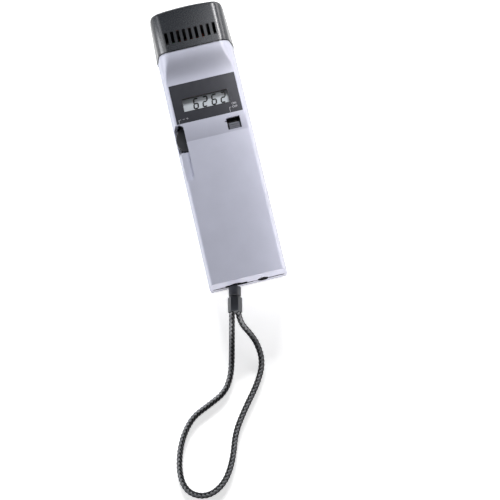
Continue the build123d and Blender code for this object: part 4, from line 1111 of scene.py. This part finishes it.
    def strands(self, name: str, sense: int) -> bpy.types.Object:
        """Lays the strands that turn one way round the core.

        Args:
            name: Name of the mesh.
            sense: 1 or -1, the way that the strands turn.

        Returns:
            The mesh object, with its UV map in millimetres.
        """
        points = self.stations()
        places = list(zip(points, self.crossways(points)))
        corners = len(self.section)
        mesh = bmesh.new()
        layer = mesh.loops.layers.uv.new("strand")
        for number in range(self.carriers):
            rings = []
            for index, (point, pair) in enumerate(places):
                ring = self.ring(point, pair, index * self.step, number, sense)
                rings.append([mesh.verts.new(corner) for corner in ring])
            for index, (ring, following) in enumerate(zip(rings, rings[1:])):
                low, high = index * self.step, (index + 1) * self.step
                for corner in range(corners):
                    beside = (corner + 1) % corners
                    face = mesh.faces.new(
                        (ring[corner], ring[beside], following[beside], following[corner])
                    )
                    face.smooth = True
                    left = number * self.map_shift + corner * self.map_edge
                    right = left + self.map_edge
                    flat = ((left, low), (right, low), (right, high), (left, high))
                    for loop, place in zip(face.loops, flat):
                        loop[layer].uv = place
            mesh.faces.new(rings[0][::-1])
            mesh.faces.new(rings[-1])
        bmesh.ops.recalc_face_normals(mesh, faces=mesh.faces)
        data = bpy.data.meshes.new(name)
        mesh.to_mesh(data)
        mesh.free()
        return added(name, data)

    def build(self, finishes: Finishes) -> None:
        """Args:
            finishes: The materials.
        """
        core = self.line("wrist_cord_core", self.core_diameter / 2)
        grey = self.strands("cord_strands_grey", 1)
        black = self.strands("cord_strands_black", -1)
        for piece, finish in ((core, "cord"), (grey, "grey_yarn"), (black, "cord")):
            seat(piece, finishes[finish], Body.STRAP, "cord")
        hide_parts("wrist_cord")
        tuple(metres(self.route()[0]))


# Studio


class Reach(Enum):
    """What a lamp acts on."""

    ALL = "all"
    MATT = "matt"
    GLOSS = "gloss"


@dataclass
class Softbox:
    """One flat lamp that is aimed at the instrument, or a card that only shows in its gloss."""

    name: str
    place: Point
    size: tuple[float, float]
    power: float
    colour: Colour = WHITE
    target: Point = (0.0, -20.0, 20.0)
    reach: Reach = Reach.ALL
    spread: float = math.pi

    def build(self) -> None:
        """Makes the lamp, which the camera does not see."""
        light = bpy.data.lights.new(self.name, "AREA")
        light.shape = "RECTANGLE"
        light.size, light.size_y = (side * MM for side in self.size)
        light.energy = self.power
        light.color = self.colour
        light.spread = self.spread
        lamp = added(self.name, light)
        lamp.location = metres(self.place)
        aim = metres(self.target) - lamp.location
        lamp.rotation_euler = aim.to_track_quat("-Z", "Y").to_euler()
        lamp.visible_camera = False
        lamp.visible_diffuse = self.reach is not Reach.GLOSS
        lamp.visible_glossy = self.reach is not Reach.MATT


@dataclass
class Studio:
    """White table, soft lamps and the camera that stands where the photograph's did."""

    distance: float = 1800.0
    target: Point = (6.674, -93.251, 30.0)
    tilt: float = math.radians(17.015)
    swing: float = math.radians(-0.272)
    roll: float = math.radians(-13.282)
    lens: float = 167.0
    sensor: float = 36.0
    clip: tuple[float, float] = (100.0, 20000.0)
    fill: float = 0.1
    fill_colour: Colour = (0.93, 0.95, 1.0)
    zenith: float = 0.07
    dome: tuple[float, float] = (0.25, 0.75)
    table_side: float = 8000.0
    table_gap: float = 0.2
    table_grey: float = 0.86
    table_glow: float = 0.66

    def table(self) -> None:
        """Makes the white table, which keeps a soft shadow."""
        Workpiece.clear()
        bpy.ops.mesh.primitive_plane_add(
            size=self.table_side * MM, location=(0, 0, -self.table_gap * MM)
        )
        table = bpy.context.object
        table.name = "table"
        sheet = ShaderSheet("table_white")
        sheet.surface(Base_Color=(*(self.table_grey,) * 3, 1), Emission_Color=(*WHITE, 1))
        sheet.surface(Roughness=0.9, Specular_IOR_Level=0.1)
        glow = sheet.node("ShaderNodeMath", operation="MULTIPLY")
        glow.inputs[1].default_value = self.table_glow
        sheet.link(sheet.seen_directly(), glow.inputs[0])
        sheet.feed("Emission Strength", glow.outputs[0])
        dress(table, sheet.material)

    def world(self) -> None:
        """Sets a white surround that reflections see darker overhead, and a weak, cool fill."""
        world = bpy.data.worlds.new("surround")
        bpy.context.scene.world = world
        world.use_nodes = True
        sheet = NodeSheet(world.node_tree)
        direction = sheet.node("ShaderNodeTexCoord")
        split = sheet.node("ShaderNodeSeparateXYZ")
        sheet.link(direction.outputs["Generated"], split.inputs[0])
        low, high = self.dome
        dome = sheet.ramp(split.outputs["Z"], (low, WHITE), (high, (self.zenith,) * 3))
        path = sheet.node("ShaderNodeLightPath")
        backdrop = sheet.node("ShaderNodeMix", data_type="RGBA", B=(*WHITE, 1))
        sheet.link(path.outputs["Is Camera Ray"], backdrop.inputs["Factor"])
        sheet.link(dome, backdrop.inputs["A"])
        surround = sheet.node("ShaderNodeBackground")
        sheet.link(backdrop.outputs["Result"], surround.inputs["Color"])
        fill = sheet.node(
            "ShaderNodeBackground", Color=(*self.fill_colour, 1), Strength=self.fill
        )
        mix = sheet.node("ShaderNodeMixShader")
        sheet.link(sheet.seen_directly(), mix.inputs["Fac"])
        sheet.link(fill.outputs[0], mix.inputs[1])
        sheet.link(surround.outputs[0], mix.inputs[2])
        output = sheet.node("ShaderNodeOutputWorld")
        sheet.link(mix.outputs[0], output.inputs["Surface"])

    def lamps(self) -> None:
        """Places the key, the low lamps and the cards that only show in the hood's gloss."""
        side, end = (0, -5, 27), (0, -115, 25)
        left, top, right = (-27, 80, 35), (25, 90, 40), (27, 90, 38)
        cool, warm = (0.96, 0.97, 1.0), (1.0, 0.97, 0.97)
        narrow = math.radians(62)
        gloss, matt = Reach.GLOSS, Reach.MATT
        for lamp in (
            Softbox("key_head", (300, 2000, 1080), (1100, 420), 80.0, reach=matt),
            Softbox("strip_right", (52, -5, 49), (300, 12), 0.05, warm, side),
            Softbox("low_left", (-600, 80, 90), (400, 160), 2.8, cool, reach=matt),
            Softbox("strip_strap_end", (0, -178, 34), (110, 16), 0.0145, warm, end, spread=narrow),
            Softbox("card_hood", (80, 150, 200), (120, 130), 0.16, cool, top, gloss),
            Softbox("card_left", (-100, 92, 72), (70, 44), 0.095, cool, left, gloss),
            Softbox("card_left_high", (-74, 118, 124), (60, 60), 0.046, cool, left, gloss),
            Softbox("card_corner", (48, 90, 98), (120, 10), 0.11, warm, right, gloss),
        ):
            lamp.build()

    def camera(self) -> None:
        """Stands the camera at the photograph's viewing angle."""
        level = math.cos(self.tilt)
        back = Vector(
            (math.sin(self.swing) * level, -math.sin(self.tilt), level * math.cos(self.swing))
        ).normalized()
        right = Vector((0, 1, 0)).cross(back).normalized()
        up = back.cross(right)
        across = right * math.cos(self.roll) + up * math.sin(self.roll)
        above = up * math.cos(self.roll) - right * math.sin(self.roll)
        data = bpy.data.cameras.new("camera")
        data.lens = self.lens
        data.sensor_width = self.sensor
        data.clip_start, data.clip_end = (limit * MM for limit in self.clip)
        camera = added("camera", data)
        place = (Vector(self.target) + back * self.distance) * MM
        turn = Matrix((across, above, back)).transposed().to_4x4()
        camera.matrix_world = Matrix.Translation(place) @ turn
        bpy.context.scene.camera = camera

    def build(self) -> None:
        """Sets up the whole studio."""
        self.table()
        self.world()
        self.lamps()
        self.camera()
        bpy.context.scene.view_settings.view_transform = "Standard"


# The instrument


@dataclass
class PackedNodes:
    """The CAD nodes, each with the finish of its slot. Some are replaced by pieces made later."""

    record: dict

    def build(self, finishes: Finishes) -> None:
        """Dresses every node with the finish of its slot.

        Args:
            finishes: The materials.
        """
        for row in self.record["subparts"]:
            node = bpy.data.objects[row["node"]]
            dress(node, finishes[row["material_slot"]])
            log.info("node %s: %s", node.name, row["material_slot"])


SEGMENTS: dict[str, str] = {"6": "acdefg", "2": "abdeg"}


@dataclass
class DisplayFace:
    """Liquid crystal display in its window: a dark frame that lines it as painted shade on the
    window's walls, and four slanted digits.
    """

    centre: Point = (-0.3, 33.7, 33.1)
    window: tuple[float, float] = (37.4, 11.6)
    gasket: float = 0.35
    shade_lining_high: float = 2.3
    slip: float = 0.04
    edge: float = 0.08
    digit_height: float = 9.4
    digit_width: float = 4.5
    stroke: float = 1.2
    stroke_gap: float = 0.06
    stroke_point: float = 0.42
    slant: float = math.radians(8)
    ink_high: float = 0.05
    centres: tuple[float, ...] = (-8.3, -0.95, 6.4, 13.75)
    reading: str = "6262"
    lift: float = 0.2

    def border(self, finishes: Finishes) -> None:
        """Makes the dark frame, painted shade on the window's walls, from the glass to just under
        the face of the label.

        Args:
            finishes: The materials.
        """
        x, y, z = self.centre
        wide, high = (side / 2 - self.slip for side in self.window)
        piece = Workpiece.block(
            "display_gasket", (x - wide, y - high, z), (x + wide, y + high, z + self.shade_lining_high)
        )
        piece.hollow(2, self.gasket).soften(self.edge)
        # the black frame stands in for the shade on the window's walls
        seat(piece.object, finishes["seal"], Body.CASE, "display")

    def bar(self) -> Workpiece:
        """Makes one pointed segment of a digit.

        Returns:
            The segment, lying along X at the middle of the frame.
        """
        half = (self.digit_width - self.stroke) / 2 - self.stroke_gap
        side = self.stroke / 2
        piece = Workpiece.block("segment", (-half, -side, 0), (half, side, self.ink_high))
        upright = self.ink_high * MM / 2
        with piece.editing():
            piece.pick_edges(lambda first, last: abs(first.z - last.z) > upright)
            bpy.ops.mesh.bevel(
                offset=self.stroke * self.stroke_point * MM, segments=1, affect="EDGES"
            )
        return piece

    def places(self) -> list[Matrix]:
        """Works out where every dark segment goes.

        Returns:
            The place and turn of each, in metres.
        """
        high = (self.digit_height - self.stroke) / 2
        side = (self.digit_width - self.stroke) / 2
        bars = {"a": (0, high), "g": (0, 0), "d": (0, -high)}
        posts = {
            "b": (side, high / 2),
            "c": (side, -high / 2),
            "e": (-side, -high / 2),
            "f": (-side, high / 2),
        }
        longer = Matrix.Scale(high / (2 * side), 4, (1, 0, 0))
        upright = Matrix.Rotation(math.pi / 2, 4, "Z") @ longer
        slanted = Matrix.Identity(4)
        slanted[0][1] = math.tan(self.slant)
        made = []
        for figure, across in zip(self.reading, self.centres):
            centre = metres((across, self.centre[1] + self.lift, self.centre[2]))
            digit = Matrix.Translation(centre) @ slanted
            for segment in SEGMENTS[figure]:
                x, y = bars.get(segment) or posts[segment]
                turn = Matrix.Identity(4) if segment in bars else upright
                made.append(digit @ Matrix.Translation(metres((x, y, 0))) @ turn)
        return made

    def build(self, finishes: Finishes) -> None:
        """Makes the frame and the digits.

        Args:
            finishes: The materials.
        """
        self.border(finishes)
        digits = fuse("display_digits", self.bar().copies("digit", self.places()))
        seat(digits, finishes["segment"], Body.CASE, "display")


@dataclass
class LabelPrint:
    """Thin light printing on the label: signs by the wheel and the switch, with leader lines."""

    face: float = 35.5
    high: float = 0.03
    line: float = 0.28
    letter: float = 2.5
    bold: float = 0.02

    def stroke(
        self, name: str, low: tuple[float, float], high: tuple[float, float]
    ) -> bpy.types.Object:
        """Prints one straight stroke.

        Args:
            name: Name of the stroke.
            low: Its lower left corner on the label in millimetres.
            high: Its upper right corner.

        Returns:
            The stroke as a mesh.
        """
        piece = Workpiece.block(name, (*low, self.face), (*high, self.face + self.high))
        return piece.soften(self.high / 3, 1).object

    def word(self, text: str, left: float, base: float) -> bpy.types.Object:
        """Prints a short word.

        Args:
            text: The word.
            left: Left end in millimetres.
            base: Height of its base line on the label in millimetres.

        Returns:
            The lettering as a mesh.
        """
        Workpiece.clear()
        bpy.ops.object.text_add(location=metres((left, base, self.face)))
        lettering = bpy.context.object.data
        lettering.body = text
        lettering.size = self.letter * MM
        lettering.extrude = self.high * MM / 2
        lettering.offset = self.bold * MM
        lettering.resolution_u = 3
        bpy.ops.object.convert(target="MESH")
        piece = Workpiece(f"word_{text.lower()}").settle()
        with piece.editing():
            bpy.ops.mesh.select_all(action="SELECT")
            bpy.ops.mesh.remove_doubles(threshold=NEAR / 10)
            bpy.ops.mesh.normals_make_consistent(inside=False)
        return piece.object

    def build(self, finishes: Finishes) -> None:
        """Prints the label.

        Args:
            finishes: The materials.
        """
        line = self.line
        pieces = [
            # minus and plus by the wheel, and their leader
            self.stroke("minus", (-21.4, 22.3), (-19.7, 22.3 + line)),
            self.stroke("plus_across", (-18.4, 22.3), (-16.7, 22.3 + line)),
            self.stroke("plus_up", (-17.69, 21.59), (-17.69 + line, 23.29)),
            self.stroke("wheel_leader_across", (-24.6, 22.3), (-22.6, 22.3 + line)),
            self.stroke("wheel_leader_down", (-24.6, 19.4), (-24.6 + line, 22.3)),
            # words by the switch, and their leader
            self.word("ON", 18.9, 25.4),
            self.word("OFF", 18.9, 22.6),
            self.stroke("switch_leader_across", (16.6, 23.3), (18.2, 23.3 + line)),
            self.stroke("switch_leader_down", (16.6, 19.4), (16.6 + line, 23.3)),
        ]
        seat(fuse("label_print", pieces), finishes["ink_white"], Body.CASE, "label")


@dataclass
class GapShades:
    """Dark pieces of painted shade: a ring in the gap below the hood, and a cord in the groove at
    the strap end.
    """

    joint: float = 19.0
    head: float = 40.0
    half: float = 31.0
    front_lean: float = 0.16
    rear_lean: float = 0.06
    front_radius: float = 8.0
    rear_radius: float = 5.0
    gap: tuple[float, float] = (78.74, 79.26)
    inset: float = 0.2
    thick: float = 0.65
    end: float = -115.0
    cord_inset: float = -0.25
    cord_thick: float = 0.95
    cord_half: float = 0.42
    corner: float = 4.5
    corner_end: float = -0.64
    overhang: float = 0.5
    reach: float = 18.0
    openings: tuple[tuple[float, float], ...] = ((-18.8, -0.8), (7.0, 16.0))

    def hood_ring(self, finishes: Finishes) -> None:
        """Makes the ring, which has the case's section with its leaning sides and rounded edges.

        Args:
            finishes: The materials.
        """
        half, low, high = self.half - self.inset, self.inset, self.head - self.inset
        piece = Workpiece.block("hood_seal", (-half, self.gap[0], low), (half, self.gap[1], high))
        edges = (
            (high, self.front_lean, self.front_radius),
            (low, self.rear_lean, self.rear_radius),
        )
        with piece.editing():
            bpy.ops.mesh.select_all(action="SELECT")
            bpy.ops.mesh.bisect(plane_co=metres((0, 0, self.joint)), plane_no=(0, 0, 1))
            for level, lean, _ in edges:
                narrow = 1 - lean * abs(level - self.joint) / half
                piece.pick(lambda at, normal: abs(at.z - level * MM) < NEAR)
                bpy.ops.transform.resize(value=(narrow, 1, 1), center_override=(0, 0, 0))
            for level, _, radius in edges:
                height = level * MM
                piece.pick_edges(
                    lambda first, last: abs(first.x - last.x) < NEAR
                    and max(abs(first.z - height), abs(last.z - height)) < NEAR
                )
                bpy.ops.mesh.bevel(offset=(radius - self.inset) * MM, segments=8, affect="EDGES")
        piece.hollow(1, self.thick).smooth(40)
        # the black ring stands in for the shade in the gap below the hood
        seat(piece.object, finishes["seal"], Body.CASE, "hood")

    def joint_shade(self, finishes: Finishes) -> None:
        """Makes the cord, left out where the strap and the socket come through.

        Args:
            finishes: The materials.
        """
        front = self.end + self.cord_inset
        side = self.half + self.overhang
        low = (-side, front, self.joint - self.cord_half)
        high = (side, self.end + self.reach, self.joint + self.cord_half)
        piece = Workpiece.block("joint_seal", low, high)
        with piece.editing():
            piece.pick_edges(
                lambda first, last: abs(first.z - last.z) > NEAR and first.y < front * MM + NEAR
            )
            bpy.ops.mesh.bevel(offset=self.corner * MM, segments=10, affect="EDGES")
            for place in (side for opening in self.openings for side in opening):
                bpy.ops.mesh.select_all(action="SELECT")
                bpy.ops.mesh.bisect(plane_co=metres((place, 0, 0)), plane_no=(1, 0, 0))
            piece.pick(
                lambda at, normal: normal.y > self.corner_end
                or any(first * MM < at.x < last * MM for first, last in self.openings)
            )
            bpy.ops.mesh.delete(type="FACE")
        piece.modify("SOLIDIFY", thickness=self.cord_thick * MM, offset=-1.0, use_even_offset=True)
        piece.smooth(40)
        # the black cord stands in for the shade along the joint line
        seat(piece.object, finishes["seal"], Body.CASE, "hood")

    def build(self, finishes: Finishes) -> None:
        """Makes both pieces of painted shade.

        Args:
            finishes: The materials.
        """
        self.hood_ring(finishes)
        self.joint_shade(finishes)


@dataclass
class EndShadeLinings:
    """Black linings at the strap end, painted shade inside the openings: a round collar for the
    socket and a frame for the strap.
    """

    collar_centre: Point = (11.5, -114.5, 19.0)
    collar_radius: float = 4.38
    collar_length: float = 0.9
    collar_sides: int = 48
    frame_low: Point = (-18.62, -114.93, 16.48)
    frame_high: Point = (-0.98, -112.75, 21.52)
    wall: float = 0.28
    edge: float = 0.06

    def build(self, finishes: Finishes) -> None:
        """Makes both linings, which are open along Y.

        Args:
            finishes: The materials.
        """
        collar = Workpiece.drum(
            "socket_collar",
            self.collar_centre,
            self.collar_radius,
            self.collar_length,
            self.collar_sides,
            Matrix.Rotation(math.radians(90), 3, "X"),
        )
        collar.hollow(1, self.wall).soften(self.edge)
        # the black collar stands in for the shade inside the socket's hole
        seat(collar.object, finishes["shutter"], Body.CASE, "socket")
        frame = Workpiece.block("slot_lining", self.frame_low, self.frame_high)
        frame.hollow(1, self.wall).soften(self.edge)
        # the black frame stands in for the shade inside the strap slot
        seat(frame.object, finishes["shutter"], Body.CASE, "strap_fitting")


@dataclass
class CaseScrews:
    """Six pan-head screws with crossed recesses, set into the rear face."""

    across: float = 24.7
    along: tuple[float, ...] = (-93.0, -11.0, 65.0)
    head_radius: float = 2.7
    head_sides: int = 40
    head: tuple[float, float] = (1.0, 3.0)
    edge: float = 0.3
    shank_radius: float = 1.45
    shank_top: float = 18.0
    recess: tuple[float, float, float] = (3.0, 0.62, 0.9)
    recess_below: float = 0.5
    turn_step: float = 0.5

    def screw(self) -> Workpiece:
        """Makes one screw.

        Returns:
            The screw on the Z axis, its head down.
        """
        low, high = self.head
        middle = (0, 0, (low + high) / 2)
        head = Workpiece.drum("screw", middle, self.head_radius, high - low, self.head_sides)
        shank = (0, 0, (self.shank_top - high) * MM)
        with head.editing():
            head.pick(lambda at, normal: normal.z > FACING)
            bpy.ops.mesh.inset(thickness=(self.head_radius - self.shank_radius) * MM)
            bpy.ops.mesh.extrude_region_move(TRANSFORM_OT_translate={"value": shank})
        head.soften(self.edge, 3)
        length, width, depth = self.recess
        start, stop = low - self.recess_below, low + depth
        for name, x, y in (("slot_x", length / 2, width / 2), ("slot_y", width / 2, length / 2)):
            cutter = Workpiece.block(name, (-x, -y, start), (x, y, stop)).object
            head.modify("BOOLEAN", object=cutter, operation="DIFFERENCE", solver="EXACT")
            bpy.data.objects.remove(cutter)
        return head

    def build(self, finishes: Finishes) -> None:
        """Makes the six screws, each turned by another angle.

        Args:
            finishes: The materials.
        """
        places = [
            Matrix.Translation(metres((side * self.across, place, 0)))
            @ Matrix.Rotation(self.turn_step * index + side, 4, "Z")
            for index, place in enumerate(self.along)
            for side in (-1, 1)
        ]
        screws = fuse("case_screw_heads", self.screw().copies("screw", places))
        seat(screws, finishes["plated_steel"], Body.CASE, "plated_steel", "case_screws")


@dataclass
class TriggerWire:
    """Bright trigger wire wound round the flash tube."""

    centre: Point = (-21.0, 97.84, 20.45)
    radius: float = 2.36
    wire: float = 0.16
    sides: int = 8
    pitch: float = 3.5
    turns: int = 12
    steps: int = 20

    def build(self, finishes: Finishes) -> None:
        """Winds the wire and closes its ends.

        Args:
            finishes: The materials.
        """
        Workpiece.clear()
        bpy.ops.mesh.primitive_circle_add(
            vertices=self.sides, radius=self.wire * MM, location=metres(self.centre)
        )
        piece = Workpiece("trigger_wire")
        with piece.editing():
            bpy.ops.mesh.select_all(action="SELECT")
            bpy.ops.transform.translate(value=(0, self.radius * MM, 0))
        piece.modify(
            "SCREW",
            axis="X",
            screw_offset=self.pitch * MM,
            iterations=self.turns,
            steps=self.steps,
            render_steps=self.steps,
            use_merge_vertices=False,
        ).settle()
        with piece.editing():
            bpy.ops.mesh.select_mode(type="EDGE")
            bpy.ops.mesh.select_non_manifold()
            bpy.ops.mesh.edge_face_add()
            bpy.ops.mesh.select_all(action="SELECT")
            bpy.ops.mesh.normals_make_consistent(inside=False)
        piece.smooth(60)
        seat(piece.object, finishes["tube_metal"], Body.CASE, "tube_metal")


@dataclass
class DoorMark:
    """Raised arrow on the battery door that shows which way it slides."""

    centre: Point = (3.4, -80.0, 0.09)
    radius: float = 4.2
    high: float = 0.12
    edge: float = 0.03

    def build(self, finishes: Finishes) -> None:
        """Makes the arrow, a flat triangle.

        Args:
            finishes: The materials.
        """
        turn = Matrix.Rotation(math.pi, 3, "Z")
        piece = Workpiece.drum("door_arrow", self.centre, self.radius, self.high, 3, turn)
        piece.soften(self.edge)
        seat(piece.object, finishes["case"], Body.DOOR, "case")


@dataclass
class Ferrule:
    """Six-sided ferrule that grips the two cord ends, with rounded corners and a turned rim."""

    frame: StrapFrame
    start: float = 16.4
    length: float = 12.0
    radius: float = 5.75
    rim: float = 0.85
    mouth: float = 0.6
    edge: float = 0.45

    def build(self, finishes: Finishes) -> None:
        """Makes the ferrule and sinks its face inside the rim.

        Args:
            finishes: The materials.
        """
        centre = tuple(self.frame.at(self.start + self.length / 2))
        axes = self.frame.axes @ Matrix.Rotation(math.radians(30), 3, "Z")
        piece = Workpiece.drum("ferrule", centre, self.radius, self.length, 6, axes)
        way = self.frame.way
        inwards = tuple(-way * self.mouth * MM)
        with piece.editing():
            piece.pick(lambda at, normal: normal.dot(way) > FACING)
            bpy.ops.mesh.inset(thickness=self.rim * MM)
            bpy.ops.mesh.extrude_region_move(TRANSFORM_OT_translate={"value": inwards})
        piece.soften(self.edge, 3)
        seat(
            piece.object, finishes["strap_fitting"], Body.STRAP, "strap_fitting", "strap_ferrule"
        )


def main() -> None:
    """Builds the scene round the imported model."""
    logging.basicConfig(level=logging.INFO, format="%(name)s %(message)s")
    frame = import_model()
    finishes = Finishes()
    PackedNodes(frame["record"]).build(finishes)
    strap = StrapFrame()
    Studio().build()
    for part in (
        WristCord(strap),
        Ferrule(strap),
        DisplayFace(),
        LabelPrint(),
        GapShades(),
        EndShadeLinings(),
        CaseScrews(),
        TriggerWire(),
        DoorMark(),
    ):
        part.build(finishes)
    bpy.context.view_layer.update()


if __name__ == "__main__":
    main()
